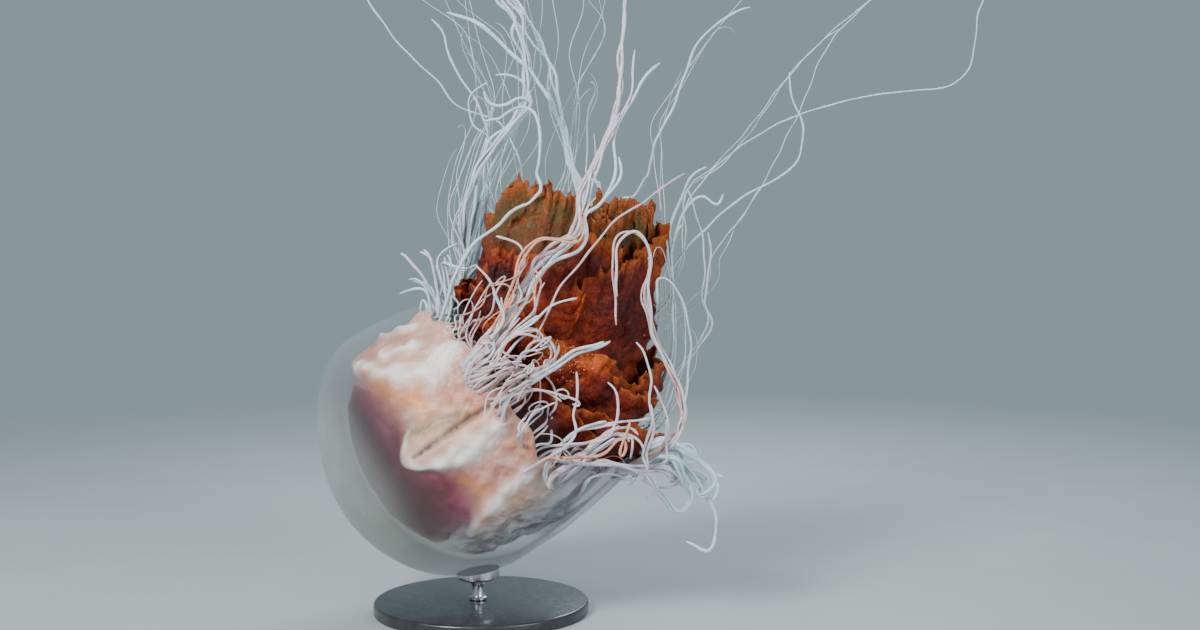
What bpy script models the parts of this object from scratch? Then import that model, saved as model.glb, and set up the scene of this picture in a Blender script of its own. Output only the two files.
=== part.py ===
"""Life-size display model of a lion's mane jellyfish (Cyanea capillata), swimming down to the left.

Metres, +Z up.  The origin is the centre of the stand's underside.  The bell leans on its own axes:
`TRAIL` points out of its mouth, `CROWN` to its upper side and `NEAR` to the front (-Y).
"""

import math

import bmesh
import bpy
import numpy as np

# ---- the bell ---------------------------------------------------------------------------------
BELL_RADIUS = 0.165
BELL_CENTRE = np.array([-0.032, 0.0, 0.210])
TRAIL_RISE = math.radians(31)  # how far the bell's mouth points above the horizontal
TRAIL_RECEDE = math.radians(12)  # and how far it points to the back
CROWN_FLATNESS = 0.96
RIM_ANGLE = math.radians(95)  # from the bell's top to where its margin lobes begin
TOP_THICKNESS = 0.25 * BELL_RADIUS
RIM_THICKNESS = 0.055 * BELL_RADIUS
EDGE_THICKNESS = 0.018 * BELL_RADIUS
LOBE_LENGTH = 0.72 * BELL_RADIUS  # from the equator to the margin, on average
LOBE_SLANT = 0.24 * BELL_RADIUS  # longer on the lower side, shorter on the upper one
LOBE_DIP = 0.14 * BELL_RADIUS  # shorter at the front
LOBE_TUCK = 0.10 * BELL_RADIUS  # how far the margin draws in
LOBES = 8
LOBE_STEP = 2 * math.pi / LOBES
COLUMNS = 5 * LOBES  # the flat strips that the wall is made of, five to a lobe
WALL_ROWS = np.concatenate([np.linspace(0, 1, 7), 1 + np.linspace(0, 1, 4)[1:]])
CLEFT_DEPTH = 0.20
NOTCH_DEPTH = 0.08
RIDGE_HEIGHT = 0.004
GAP = 0.0005  # between pieces that touch

# ---- the muscle folds and the stomach inside the bell -----------------------------------------
FOLD_ANGLES = np.radians([2, 34, 92, 147, 186, 228, 270, 315])  # round the bell, 0 at its upper side
FOLD_START, CLEFT_START = 0.62, 0.86  # where folds and the clefts between them begin; the rim is 1
FOLD_END = 4 / 3  # and where they end, between the rim and the margin, which is 2
FOLD_THICKNESS = 0.075 * BELL_RADIUS
FOLD_GROOVE = 0.050 * BELL_RADIUS
STOMACH_LOBES = 4
STOMACH_STRIPS = 20
STOMACH_PROFILE = [  # radius and place along the bell's axis, in bell radii, below where it leaves the wall
    (0.590, -0.430),
    (0.525, -0.300),
    (0.380, -0.180),
    (0.220, -0.060),
]
MOUTH_RADIUS = 0.18 * BELL_RADIUS
MOUTH_PLACE = 0.10 * BELL_RADIUS

# ---- the oral arms ----------------------------------------------------------------------------
ARMS = 4
ARM_THICKNESS = 0.0042
ARM_ROOT = MOUTH_PLACE + GAP
ARM_REACH = 0.62 * BELL_RADIUS
ARM_ROWS, ARM_COLUMNS = 8, 17
ARM_SWEEP = np.array([0.120, 0.030, 0.378])  # the arms bend upwards past here
ARM_END = np.array([0.116, 0.030, 0.524])
ARM_WIDTH = [  # place along the arms from 0 to 1, and their reach from that line in bell radii
    (0.00, 0.17),
    (0.12, 0.44),
    (0.25, 0.66),
    (0.38, 0.79),
    (0.50, 0.82),
    (0.62, 0.78),
    (0.75, 0.70),
    (0.88, 0.64),
    (1.00, 0.62),
]
ARM_LENGTHS = [0.92, 0.90, 0.90, 0.98]  # upper, front, lower and rear arm, along that line
ARM_TURN = math.radians(40)  # of the first arm from the bell's upper side
LIP_SPREAD = math.radians(41)
LIP_APART = 0.0037  # from each lip to the arm's middle, where the two hang side by side
LIP_FOLD = 0.12
LIP_WAVES = 2.2
TIER_DEPTH = 0.08
MARGIN_SQUEEZE = 0.17  # how far the upper arm draws back where it passes the bell's margin
MARGIN_PASS = 0.28  # which is here along the arms
ARM_SAG = 0.22  # how much further the arms reach on their lower side
SAG_PLACE = 0.30  # at this place
SAG_SPAN = 0.32  # and this far along from it

# ---- the tentacles ----------------------------------------------------------------------------
STEP = 0.008
ROOT_PLACE = 1.50  # between the rim, 1, and the margin, 2
PAD_THICKNESS = 0.010
ROOT_DEPTH = 0.0065
ROOT_SPREAD = math.radians(13)
ROOT_RADIUS = 0.0024
TIP_RADIUS = 0.0009
CLEARANCE = (0.004, 0.016)  # between two tentacles, at their roots and further out
ARM_ROOM = 0.012  # between a tentacle and the oral arms
SIDES = 5
UP = np.array([0.0, 0.0, 1.0])
# One row for each bunch: how many, where the middle one's tip is drawn to, how far the others' tips
# spread in X, Y and Z, length, sway, and curl at the tip in turns.
BUNCHES = [
    (4, (-0.080, 0.010, 0.440), (0.030, 0.030, 0.020), 0.130, 0.30, 0.40),
    (4, (0.140, -0.110, 0.980), (0.075, 0.030, 0.060), 0.760, 0.22, 0.10),
    (4, (0.150, -0.165, 0.620), (0.110, 0.020, 0.200), 0.400, 0.35, 0.55),
    (4, (0.250, -0.130, 0.520), (0.050, 0.040, 0.190), 0.400, 0.32, 0.50),
    (4, (0.275, -0.010, 0.105), (0.020, 0.060, 0.070), 0.215, 0.45, 0.80),
    (4, (0.330, 0.130, 0.800), (0.120, 0.040, 0.160), 0.700, 0.20, 0.20),
    (4, (0.420, 0.190, 1.000), (0.260, 0.060, 0.060), 0.950, 0.18, 0.10),
    (4, (-0.080, 0.150, 1.000), (0.110, 0.040, 0.080), 0.800, 0.16, 0.10),
]

# ---- the stand --------------------------------------------------------------------------------
BASE_RADIUS = 0.130
BASE_HEIGHT = 0.014
BASE_BEVEL = 0.003
BASE_SIDES = 32
ROD_RADIUS = 0.007
ROD_PLACE = np.array([-0.004, 0.0])
CUP_RADIUS = 0.026
CUP_HEIGHT = 0.010
ROD_SIDES = 16

TRAIL = np.array(
    [
        math.cos(TRAIL_RISE) * math.cos(TRAIL_RECEDE),
        math.sin(TRAIL_RECEDE),
        math.sin(TRAIL_RISE) * math.cos(TRAIL_RECEDE),
    ]
)
CROWN = np.array([-math.sin(TRAIL_RISE), 0.0, math.cos(TRAIL_RISE)])
NEAR = np.cross(TRAIL, CROWN)


# ---- small helpers ----------------------------------------------------------------------------
def unit(vector):
    return vector / np.linalg.norm(vector, axis=-1, keepdims=True)


def smooth(x):
    x = np.clip(x, 0.0, 1.0)
    return x * x * (3 - 2 * x)


def material(name, colour, roughness, metallic=0.0):
    made = bpy.data.materials.new(name)
    made.use_nodes = True
    shader = made.node_tree.nodes["Principled BSDF"]
    shader.inputs["Base Color"].default_value = (*colour, 1.0)
    shader.inputs["Roughness"].default_value = roughness
    shader.inputs["Metallic"].default_value = metallic
    return made


def add_object(name, points, faces, finish):
    """An object of this name, with its faces turned outwards."""
    mesh = bpy.data.meshes.new(name)
    mesh.from_pydata([tuple(p) for p in points], [], faces)
    body = bmesh.new()
    body.from_mesh(mesh)
    bmesh.ops.triangulate(body, faces=body.faces)
    bmesh.ops.recalc_face_normals(body, faces=body.faces)
    body.to_mesh(mesh)
    body.free()
    mesh.shade_smooth()
    mesh.set_sharp_from_angle(angle=math.radians(50))
    mesh.materials.append(finish)
    made = bpy.data.objects.new(name, mesh)
    bpy.context.scene.collection.objects.link(made)
    return made


def slab(outer, inner):
    """Points and faces of a closed slab between two grids of points of the same shape."""
    rows, columns = outer.shape[:2]
    index = np.arange(rows * columns).reshape(rows, columns)
    below = index + rows * columns
    faces = []
    for i in range(rows - 1):
        for j in range(columns - 1):
            faces.append((index[i, j], index[i + 1, j], index[i + 1, j + 1], index[i, j + 1]))
            faces.append((below[i, j], below[i, j + 1], below[i + 1, j + 1], below[i + 1, j]))
    border = [(i, 0) for i in range(rows)]
    border += [(rows - 1, j) for j in range(1, columns)]
    border += [(i, columns - 1) for i in range(rows - 2, -1, -1)]
    border += [(0, j) for j in range(columns - 2, 0, -1)]
    for here, there in zip(border, border[1:] + border[:1]):
        faces.append((index[here], below[here], below[there], index[there]))
    return np.concatenate([outer.reshape(-1, 3), inner.reshape(-1, 3)]), faces


def turned(rows, closed_ends):
    """Points and faces of a body of rings.  Each end closes on a point, or the last ring joins the first."""
    count, around = rows.shape[:2]
    index = np.arange(count * around).reshape(count, around)
    faces = []
    for i in range(count if closed_ends is None else count - 1):
        here, there = index[i], index[(i + 1) % count]
        for j in range(around):
            k = (j + 1) % around
            faces.append((here[j], there[j], there[k], here[k]))
    points = rows.reshape(-1, 3)
    if closed_ends is None:
        return points, faces
    for end, ring in zip(closed_ends, (index[0], index[-1])):
        tip = len(points)
        points = np.concatenate([points, np.reshape(end, (1, 3))])
        faces += [(ring[j], ring[(j + 1) % around], tip) for j in range(around)]
    return points, faces


def in_bell(radius, place, angle):
    """A point at this radius and place along the bell's axis.  Angle 0 is the bell's upper side."""
    radius, place, angle = np.broadcast_arrays(radius, place, angle)
    out = np.cos(angle)[..., None] * CROWN + np.sin(angle)[..., None] * NEAR
    return BELL_CENTRE + place[..., None] * TRAIL + radius[..., None] * out


# ---- the bell's wall --------------------------------------------------------------------------
def margin(angle):
    """How far the margin reaches past the equator: eight lobes, each with a notch in its middle."""
    cleft = np.abs(np.sin(LOBES / 2 * angle)) ** 8
    notch = np.abs(np.cos(LOBES / 2 * angle)) ** 14
    reach = LOBE_LENGTH - LOBE_SLANT * np.cos(angle) - LOBE_DIP * np.clip(np.sin(angle), 0, 1) ** 2
    return reach * (1 - CLEFT_DEPTH * cleft - NOTCH_DEPTH * notch)


def wall(angle, place, depth, from_outside=False):
    """A point of the bell's wall.  place runs from 0 at the top over 1 at the rim to 2 at the margin,
    and depth is measured inwards from the wall's inner face, or from its outer face."""
    angle, place, depth = np.broadcast_arrays(
        np.asarray(angle, float), np.asarray(place, float), np.asarray(depth, float)
    )
    dome = np.minimum(place, 1.0)
    lobe = np.clip(place - 1.0, 0.0, 1.0)
    polar = RIM_ANGLE * dome
    ridge = 1 + RIDGE_HEIGHT * np.cos(2 * LOBES * angle) * smooth(place - 0.3)
    radius = BELL_RADIUS * np.sin(polar) * ridge - LOBE_TUCK * lobe**2
    along = -BELL_RADIUS * (CROWN_FLATNESS + (1 - CROWN_FLATNESS) * dome) * np.cos(polar)
    rim_along = -BELL_RADIUS * math.cos(RIM_ANGLE)
    along = along + lobe * (margin(angle) - rim_along)
    thickness = RIM_THICKNESS + (TOP_THICKNESS - RIM_THICKNESS) * np.cos(dome * math.pi / 2) ** 1.4
    thickness = thickness + (EDGE_THICKNESS - RIM_THICKNESS) * lobe
    inwards = depth if from_outside else depth + thickness
    slope_radius, slope_along = np.sin(polar), -np.cos(polar)
    return in_bell(radius - inwards * slope_radius, along - inwards * slope_along, angle)


def meridians(first, count):
    """The angles of the wall's strips.  Strip 0 begins half a strip before the bell's upper side."""
    return (np.arange(first, first + count) - 0.5) * 2 * math.pi / COLUMNS


def flat_wall(angle, place, depth):
    """A point of the wall's inner face as it is built here, of flat strips."""
    angle, place, depth = np.broadcast_arrays(angle, place, depth)
    row = np.clip(np.searchsorted(WALL_ROWS, place, side="right") - 1, 0, len(WALL_ROWS) - 2)
    share = (place - WALL_ROWS[row]) / (WALL_ROWS[row + 1] - WALL_ROWS[row])
    above, below = wall(angle, WALL_ROWS[row], depth), wall(angle, WALL_ROWS[row + 1], depth)
    return above + share[..., None] * (below - above)


def build_bell(finish):
    angles = meridians(0, COLUMNS)
    places = WALL_ROWS[1:7, None]
    outer = wall(angles, places, 0.0, from_outside=True)
    inner = wall(angles, places, 0.0)[::-1]
    ends = (wall(0, 0, 0, from_outside=True), wall(0, 0, 0))
    points, faces = turned(np.concatenate([outer, inner]), ends)
    add_object("bell_dome", points, faces, finish)
    cut = 2 * GAP / BELL_RADIUS
    lobe_gap = GAP / (LOBE_LENGTH - LOBE_SLANT)
    for lobe in range(LOBES):
        angles = meridians(5 * lobe - 2, 6)
        angles[[0, -1]] += [cut, -cut]
        places = WALL_ROWS[6:, None] + [[2 * lobe_gap], [0], [0], [0]]
        outer = wall(angles, places, 0.0, from_outside=True)
        points, faces = slab(outer, wall(angles, places, 0.0))
        add_object(f"bell_lobe_{lobe + 1}", points, faces, finish)


# ---- inside the bell --------------------------------------------------------------------------
def fold_height(angle):
    """1 on the back of a muscle fold, 0 in the cleft between two."""
    ends = np.concatenate([FOLD_ANGLES[-1:] - 2 * math.pi, FOLD_ANGLES, FOLD_ANGLES[:1] + 2 * math.pi])
    phase = np.interp(np.mod(angle, 2 * math.pi), ends, np.arange(-1, len(FOLD_ANGLES) + 1))
    return np.abs(np.cos(math.pi * phase)) ** 0.7


def build_muscle(finish):
    angles = meridians(0, COLUMNS)
    height = fold_height(angles)
    start = CLEFT_START + (FOLD_START - CLEFT_START) * height
    places = np.stack([start, np.full(COLUMNS, 0.97), np.full(COLUMNS, FOLD_END - 0.01)])
    swell = np.array([[0.0], [1.0], [0.0]])
    depth = GAP + FOLD_GROOVE * (1 - height) * swell
    outer = flat_wall(angles, places, depth)
    inner = flat_wall(angles, places, depth + FOLD_THICKNESS * (0.5 + 0.5 * swell))
    points, faces = turned(np.concatenate([outer, inner[::-1]]), None)
    add_object("muscle_folds", points, faces, finish)


def build_stomach(finish):
    angles = meridians(0, COLUMNS)[:: COLUMNS // STOMACH_STRIPS]
    rows = list(flat_wall(angles, WALL_ROWS[1:4, None], GAP))
    for radius, place in STOMACH_PROFILE:
        pouch = 1 + 0.06 * np.cos(STOMACH_LOBES * angles)
        rows.append(in_bell(BELL_RADIUS * radius * pouch, BELL_RADIUS * place, angles))
    rows.append(in_bell(MOUTH_RADIUS, MOUTH_PLACE, angles))
    points, faces = turned(np.array(rows), (wall(0, 0, GAP), in_bell(0, MOUTH_PLACE, 0)))
    add_object("stomach", points, faces, finish)


# ---- the oral arms ----------------------------------------------------------------------------
ARM_LINE = np.array(
    [
        BELL_CENTRE + ARM_ROOT * TRAIL,
        BELL_CENTRE + (ARM_ROOT + ARM_REACH) * TRAIL,
        ARM_SWEEP,
        ARM_END,
    ]
)


def arm_line(place):
    """The line that the arms hang round, a Bezier curve run a little past its end, and its direction."""
    t = np.asarray(place, float)[..., None]
    a, b, c, d = ARM_LINE
    point = (1 - t) ** 3 * a + 3 * t * (1 - t) ** 2 * b + 3 * t**2 * (1 - t) * c + t**3 * d
    slope = 3 * (1 - t) ** 2 * (b - a) + 6 * t * (1 - t) * (c - b) + 3 * t**2 * (d - c)
    return point, unit(slope)


def arm_reach(place):
    places, reaches = zip(*ARM_WIDTH)
    return BELL_RADIUS * np.interp(place, places, reaches)


def sag(place, cosine):
    """How much further the arms reach here, where cosine is 1 on their upper side and -1 on their lower."""
    return 1 + ARM_SAG * smooth(1 - np.abs(place - SAG_PLACE) / SAG_SPAN) * np.clip(-cosine, 0, 1)


def round_arms(place, radius, angle):
    """A point at this radius and angle from the arms' line.  Angle 0 is its upper, left side."""
    point, along = arm_line(place)
    front = unit(NEAR - (along @ NEAR)[..., None] * along)
    side = np.cross(front, along)
    angle, radius = np.asarray(angle)[..., None], np.asarray(radius)[..., None]
    return point + radius * (np.cos(angle) * side + np.sin(angle) * front)


def arm_sheet(arm, down, across):
    """An oral arm's middle surface: two lips that leave its root side by side, fan out and fold."""
    t, q = np.meshgrid(np.linspace(0, 1, down), np.linspace(-1, 1, across), indexing="ij")
    lip, side = np.abs(q), np.sign(q)
    ragged = 0.045 * np.sin(7.0 * q + 2.1 * arm) + 0.03 * np.sin(15.0 * q + arm)
    place = t * (ARM_LENGTHS[arm] + ragged)
    fold = LIP_FOLD * np.sin(LIP_WAVES * 2 * math.pi * (lip - 0.4) + 5.0 * t + 1.7 * arm)
    share = 0.14 + 0.70 * smooth(lip / 0.42) + fold * smooth((lip - 0.35) / 0.2) * smooth(t * 5)
    share = share + TIER_DEPTH * np.sin(14.0 * t + 2.3 * arm) * smooth(lip * 2)
    radius = arm_reach(place) * share
    apart = LIP_APART / radius * smooth(lip / 0.12)
    fanned = smooth((lip - 0.30) / 0.70) * smooth(t * 4 + 0.35)
    middle = ARM_TURN + arm * 2 * math.pi / ARMS + 0.3 * place * np.sin(3.0 * place)
    angle = middle + side * (apart + (LIP_SPREAD - apart) * fanned)
    passing = smooth(1 - np.abs(place - MARGIN_PASS) / MARGIN_PASS)
    radius = radius * (1 - MARGIN_SQUEEZE * passing * np.clip(np.cos(angle), 0, 1))
    return round_arms(place, radius * sag(place, np.cos(angle)), angle)


def thickened(sheet, thickness):
    """The two faces of a sheet of this thickness."""
    normal = unit(np.cross(np.gradient(sheet, axis=0), np.gradient(sheet, axis=1)))
    return sheet + normal * thickness / 2, sheet - normal * thickness / 2


def build_arms(finish):
    for arm in range(ARMS):
        outer, inner = thickened(arm_sheet(arm, ARM_ROWS, ARM_COLUMNS), ARM_THICKNESS)
        for face in (outer, inner):
            face[0] += ((ARM_LINE[0] - face[0]) @ TRAIL)[:, None] * TRAIL
        points, faces = slab(outer, inner)
        add_object(f"oral_arm_{arm + 1}", points, faces, finish)


# ---- the tentacles ----------------------------------------------------------------------------
def out_of_arms(here):
    """The way out of the space that the oral arms fill, as long as this point is deep in it."""
    places = np.linspace(0, 1.05, 22)
    line, along = arm_line(places)
    from_line = here - line
    apart = np.linalg.norm(from_line, axis=1)
    front = unit(NEAR - (along @ NEAR)[:, None] * along)
    cosine = (from_line * np.cross(front, along)).sum(axis=1) / apart
    reach = arm_reach(places) * sag(places, cosine) * 0.99
    nearest = int(np.argmin(apart - reach))
    inside = reach[nearest] + ARM_ROOM - apart[nearest]
    return from_line[nearest] / apart[nearest] * max(inside, 0.0)


def route(bunch, share, jitter):
    """The points of one tentacle: along the wall to the margin, then drawn towards its tip."""
    count, tip, spread, length, sway, curl = BUNCHES[bunch]
    angle = bunch * LOBE_STEP + ROOT_SPREAD * share
    places = np.linspace(ROOT_PLACE, 2.0, 7)
    points = list(wall(angle, places, ROOT_DEPTH))
    target = np.array(tip) + np.array(spread) * np.array([share, jitter[0], jitter[1]])
    heading = unit(points[-1] - points[-2])
    twist = unit(np.array([jitter[2], jitter[0] - 0.3, jitter[1] + 0.2]))
    steps = int(length * (1 + 0.12 * jitter[3]) / STEP)
    for i in range(steps):
        along = i / steps
        here = points[-1]
        goal = target - here
        far = np.linalg.norm(goal)
        pull = unit(goal) * (0.10 if far > 0.05 else 0.02)
        wave = sway * 0.22 * (0.3 + along)
        swing = wave * np.sin(along * length * 22 + 6 * jitter[4]) * twist
        if along > 0.72:
            turn = 2 * math.pi * curl / (0.28 * steps)
            swing = swing + turn * unit(np.cross(heading, twist))
            pull = pull * 0.2
        heading = unit(heading + pull + swing + 22 * out_of_arms(here))
        points.append(here + STEP * heading)
    return np.array(points)


def relaxed(routes):
    """The routes moved apart where two come closer than their thickness allows."""
    owner = np.concatenate([np.full(len(r), i) for i, r in enumerate(routes)])
    order = np.concatenate([np.arange(len(r)) for r in routes])
    points = np.concatenate(routes)
    free = np.clip((order - 8) / 6, 0, 1)[:, None]
    room = 2 * ROOT_RADIUS + np.interp(order, [12, 40], CLEARANCE)
    least = (room[:, None] + room[None, :]) / 2
    for _ in range(40):
        apart = points[:, None, :] - points[None, :, :]
        distance = np.linalg.norm(apart, axis=2)
        close = (distance < least) & (owner[:, None] != owner[None, :])
        push = np.where(close, (least - distance) / np.maximum(distance, 1e-6), 0.0)
        moved = (apart * push[..., None]).sum(axis=1) * 0.35
        if not close.any():
            break
        points = points + free * np.clip(moved, -0.004, 0.004)
        for i in range(len(routes)):
            own = np.where(owner == i)[0]
            line = points[own]
            middle = (line[:-2] + line[2:]) / 2
            line[1:-1] += free[own][1:-1] * 0.35 * (middle - line[1:-1])
            points[own] = line
    return [points[owner == i] for i in range(len(routes))]


def tube(line, radii, joint_end, joint_direction):
    """A tube that tapers by these radii, cut square to this direction at its joint."""
    along = unit(np.gradient(line, axis=0))
    along[joint_end] = joint_direction
    side = np.cross(along[0], UP)
    rows = []
    for point, direction, radius in zip(line, along, radii):
        side = unit(side - (side @ direction) * direction)
        other = np.cross(direction, side)
        turn = np.arange(SIDES) * 2 * math.pi / SIDES
        rows.append(point + radius * (np.cos(turn)[:, None] * side + np.sin(turn)[:, None] * other))
    return turned(np.array(rows), (line[0], line[-1]))


def picked(line, count):
    """This many points of a line, closer together where it bends most."""
    along = unit(np.gradient(line, axis=0))
    bend = np.concatenate([[0], np.linalg.norm(np.diff(along, axis=0), axis=1)])
    weight = np.cumsum(STEP + 0.06 * bend)
    places = np.interp(np.linspace(weight[0], weight[-1], count), weight, np.arange(len(line)))
    index = np.arange(len(line))
    return np.stack([np.interp(places, index, line[:, k]) for k in range(3)], axis=1), places


def taper(place, count):
    """A tentacle's radius at this point of its line."""
    return TIP_RADIUS + (ROOT_RADIUS - TIP_RADIUS) * (1 - np.asarray(place) / count) ** 0.8


def join(target, other):
    union = target.modifiers.new(other.name, "BOOLEAN")
    union.operation = "UNION"
    union.solver = "EXACT"
    union.object = other
    other.hide_render = True
    other.display_type = "WIRE"


def build_tentacles(finish):
    """One node for each bunch's pad with the first lengths of its tentacles, and one for each outer length."""
    random = np.random.default_rng(7)
    owners, routes = [], []
    for bunch, row in enumerate(BUNCHES):
        for share in np.linspace(-1, 1, row[0]):
            owners.append((bunch, share))
            routes.append(route(bunch, share, random.uniform(-1, 1, 5)))
    routes = relaxed(routes)
    pads = []
    for bunch in range(len(BUNCHES)):
        angles = meridians(5 * bunch - 1, 4)
        places = np.array([WALL_ROWS[7] + 0.01, WALL_ROWS[8]])[:, None]
        points, faces = slab(flat_wall(angles, places, GAP), flat_wall(angles, places, PAD_THICKNESS))
        pads.append(add_object(f"tentacle_roots_{bunch + 1}", points, faces, finish))
    for number, ((bunch, share), line) in enumerate(zip(owners, routes)):
        count = len(line)
        joint = min(15, int(0.5 * count))
        direction = unit(line[joint + 1] - line[joint - 1])
        first, places = picked(line[: joint + 1], 4)
        points, faces = tube(first, taper(places, count), -1, direction)
        join(pads[bunch], add_object(f"root_{number + 1}", points, faces, finish))
        rest = line[joint:].copy()
        rest[0] += GAP * direction
        outer, places = picked(rest, 9)
        points, faces = tube(outer, taper(places + joint, count), 0, direction)
        add_object(f"tentacle_{bunch + 1}_{number + 1:02d}", points, faces, finish)


# ---- the stand --------------------------------------------------------------------------------
def disc(radius, place, height, sides):
    turn = np.arange(sides) * 2 * math.pi / sides
    return np.stack(
        [place[0] + radius * np.cos(turn), place[1] + radius * np.sin(turn), np.full(sides, height)], axis=1
    )


def build_stand(wood, steel):
    middle = np.zeros(2)
    rows = [
        disc(BASE_RADIUS, middle, 0.0, BASE_SIDES),
        disc(BASE_RADIUS, middle, BASE_HEIGHT - BASE_BEVEL, BASE_SIDES),
        disc(BASE_RADIUS - BASE_BEVEL, middle, BASE_HEIGHT, BASE_SIDES),
    ]
    points, faces = turned(np.array(rows), ((0, 0, 0), (0, 0, BASE_HEIGHT)))
    add_object("stand_base", points, faces, wood)
    foot = BASE_HEIGHT + GAP
    above = BELL_CENTRE[2] - BELL_RADIUS * 0.90
    cup = BELL_CENTRE[2] - BELL_RADIUS - 0.004
    rows = [
        disc(ROD_RADIUS, ROD_PLACE, foot, ROD_SIDES),
        disc(ROD_RADIUS, ROD_PLACE, cup - CUP_HEIGHT, ROD_SIDES),
        disc(CUP_RADIUS, ROD_PLACE, cup, ROD_SIDES),
        disc(CUP_RADIUS, ROD_PLACE, above, ROD_SIDES),
    ]
    ends = ((*ROD_PLACE, foot), (*ROD_PLACE, above))
    points, faces = turned(np.array(rows), ends)
    rod = add_object("stand_rod", points, faces, steel)
    rows = wall(meridians(0, COLUMNS), WALL_ROWS[1:8, None], -0.7 * GAP, from_outside=True)
    ends = (wall(0, 0, -0.7 * GAP, from_outside=True), BELL_CENTRE)
    points, faces = turned(rows, ends)
    cutter = add_object("bell_clearance", points, faces, steel)
    cut = rod.modifiers.new("bell", "BOOLEAN")
    cut.operation = "DIFFERENCE"
    cut.solver = "EXACT"
    cut.object = cutter
    cutter.hide_render = True
    cutter.display_type = "WIRE"


def main():
    for old in list(bpy.data.objects):
        bpy.data.objects.remove(old)
    build_bell(material("bell_jelly", (0.62, 0.66, 0.68), 0.25))
    build_muscle(material("muscle", (0.86, 0.78, 0.74), 0.45))
    build_stomach(material("stomach", (0.30, 0.13, 0.15), 0.45))
    build_arms(material("oral_arm", (0.52, 0.16, 0.05), 0.5))
    build_tentacles(material("tentacle", (0.84, 0.82, 0.84), 0.35))
    build_stand(
        material("stand_black", (0.03, 0.03, 0.035), 0.4), material("stand_steel", (0.6, 0.6, 0.62), 0.3, 1.0)
    )


main()
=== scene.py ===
"""The looks of the life-size lion's mane jellyfish: clear bell, muscle folds, stomach, frilled oral arms,
tentacles and stand.  Metres, +Z up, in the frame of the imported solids."""

import math

import bpy
import numpy as np
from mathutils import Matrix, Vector


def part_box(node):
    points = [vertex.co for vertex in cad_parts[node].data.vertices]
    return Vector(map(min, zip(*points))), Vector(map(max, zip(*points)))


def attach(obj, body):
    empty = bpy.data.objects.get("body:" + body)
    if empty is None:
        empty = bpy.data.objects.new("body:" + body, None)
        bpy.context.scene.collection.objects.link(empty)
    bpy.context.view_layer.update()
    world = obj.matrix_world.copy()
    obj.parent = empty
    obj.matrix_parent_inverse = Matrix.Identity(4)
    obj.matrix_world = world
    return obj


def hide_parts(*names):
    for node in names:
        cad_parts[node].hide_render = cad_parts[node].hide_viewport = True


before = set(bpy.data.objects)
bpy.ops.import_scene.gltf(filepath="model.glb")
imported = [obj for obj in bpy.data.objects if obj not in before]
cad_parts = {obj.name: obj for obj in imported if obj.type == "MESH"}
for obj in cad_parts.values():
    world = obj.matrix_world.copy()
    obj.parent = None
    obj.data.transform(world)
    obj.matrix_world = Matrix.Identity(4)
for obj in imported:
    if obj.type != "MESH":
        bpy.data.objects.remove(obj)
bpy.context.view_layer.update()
BODY = "root"
# Seeds of the random draws.  Each arm, spray and lead adds its own number to its seed.
SEEDS = {"bell": 3, "muscle": 5, "stomach": 11, "arms": 40, "sprays": 100, "leads": 300}

# ---- the bell, with the solids' own sizes -----------------------------------------------------
BELL_RADIUS = 0.165
BELL_CENTRE = np.array([-0.032, 0.0, 0.210])
TRAIL_RISE = math.radians(31)
TRAIL_RECEDE = math.radians(12)
CROWN_FLATNESS = 0.96
RIM_ANGLE = math.radians(95)
TOP_THICKNESS = 0.25 * BELL_RADIUS
RIM_THICKNESS = 0.055 * BELL_RADIUS
EDGE_THICKNESS = 0.018 * BELL_RADIUS
LOBE_LENGTH = 0.72 * BELL_RADIUS
LOBE_SLANT = 0.24 * BELL_RADIUS
LOBE_TUCK = 0.10 * BELL_RADIUS
LOBE_DIP = 0.14 * BELL_RADIUS
LOBES = 8
LOBE_STEP = 2 * math.pi / LOBES
CLEFT_DEPTH = 0.20
NOTCH_DEPTH = 0.08
RIDGE_HEIGHT = 0.004
# The bell's upper side is a little fuller than that of its solids.
SWELL, SWELL_PLACE, SWELL_SPAN = 0.015, -0.46 * BELL_RADIUS, 0.34 * BELL_RADIUS
MOUTH_PLACE = 0.10 * BELL_RADIUS
FOLD_END, FOLD_END_LEAN = 1.52, 0.20
MEMBRANE_START, MEMBRANE_DEPTH = 0.47, 0.0045
FOLD_GROOVE = 0.14 * BELL_RADIUS
FOLD_THICKNESS = 0.060 * BELL_RADIUS

# ---- the line that the oral arms hang round ---------------------------------------------------
ARMS = 4
ARM_REACH = 0.62 * BELL_RADIUS
ARM_SWEEP = np.array([0.120, 0.030, 0.378])
ARM_END = np.array([0.116, 0.030, 0.524])
# The arms' reach from their line, as a share of the bell's radius, at these shares of the way along it.
ARM_PLACES = [0.00, 0.12, 0.25, 0.38, 0.50, 0.62, 0.75, 0.88, 1.00]
ARM_REACHES = [0.17, 0.44, 0.66, 0.79, 0.82, 0.78, 0.70, 0.64, 0.62]
MARGIN_SQUEEZE = 0.17
MARGIN_PASS = 0.28
ARM_SAG, SAG_PLACE, SAG_SPAN = 0.22, 0.30, 0.32

# The bell's axis towards the tentacles, and the directions of its upper side and of its near side.
TRAIL_LEVEL = math.cos(TRAIL_RISE) * math.cos(TRAIL_RECEDE)
TRAIL = np.array([TRAIL_LEVEL, math.sin(TRAIL_RECEDE), math.sin(TRAIL_RISE) * math.cos(TRAIL_RECEDE)])
CROWN = np.array([-math.sin(TRAIL_RISE), 0.0, math.cos(TRAIL_RISE)])
NEAR = np.cross(TRAIL, CROWN)
UP = np.array([0.0, 0.0, 1.0])


# ---- small helpers ----------------------------------------------------------------------------
def unit(vector):
    return vector / np.maximum(np.linalg.norm(vector, axis=-1, keepdims=True), 1e-12)


def smooth(x):
    x = np.clip(x, 0.0, 1.0)
    return x * x * (3 - 2 * x)


def full_turn(count):
    """This many angles, evenly spaced over a whole turn."""
    return np.arange(count) * 2 * math.pi / count


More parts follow.
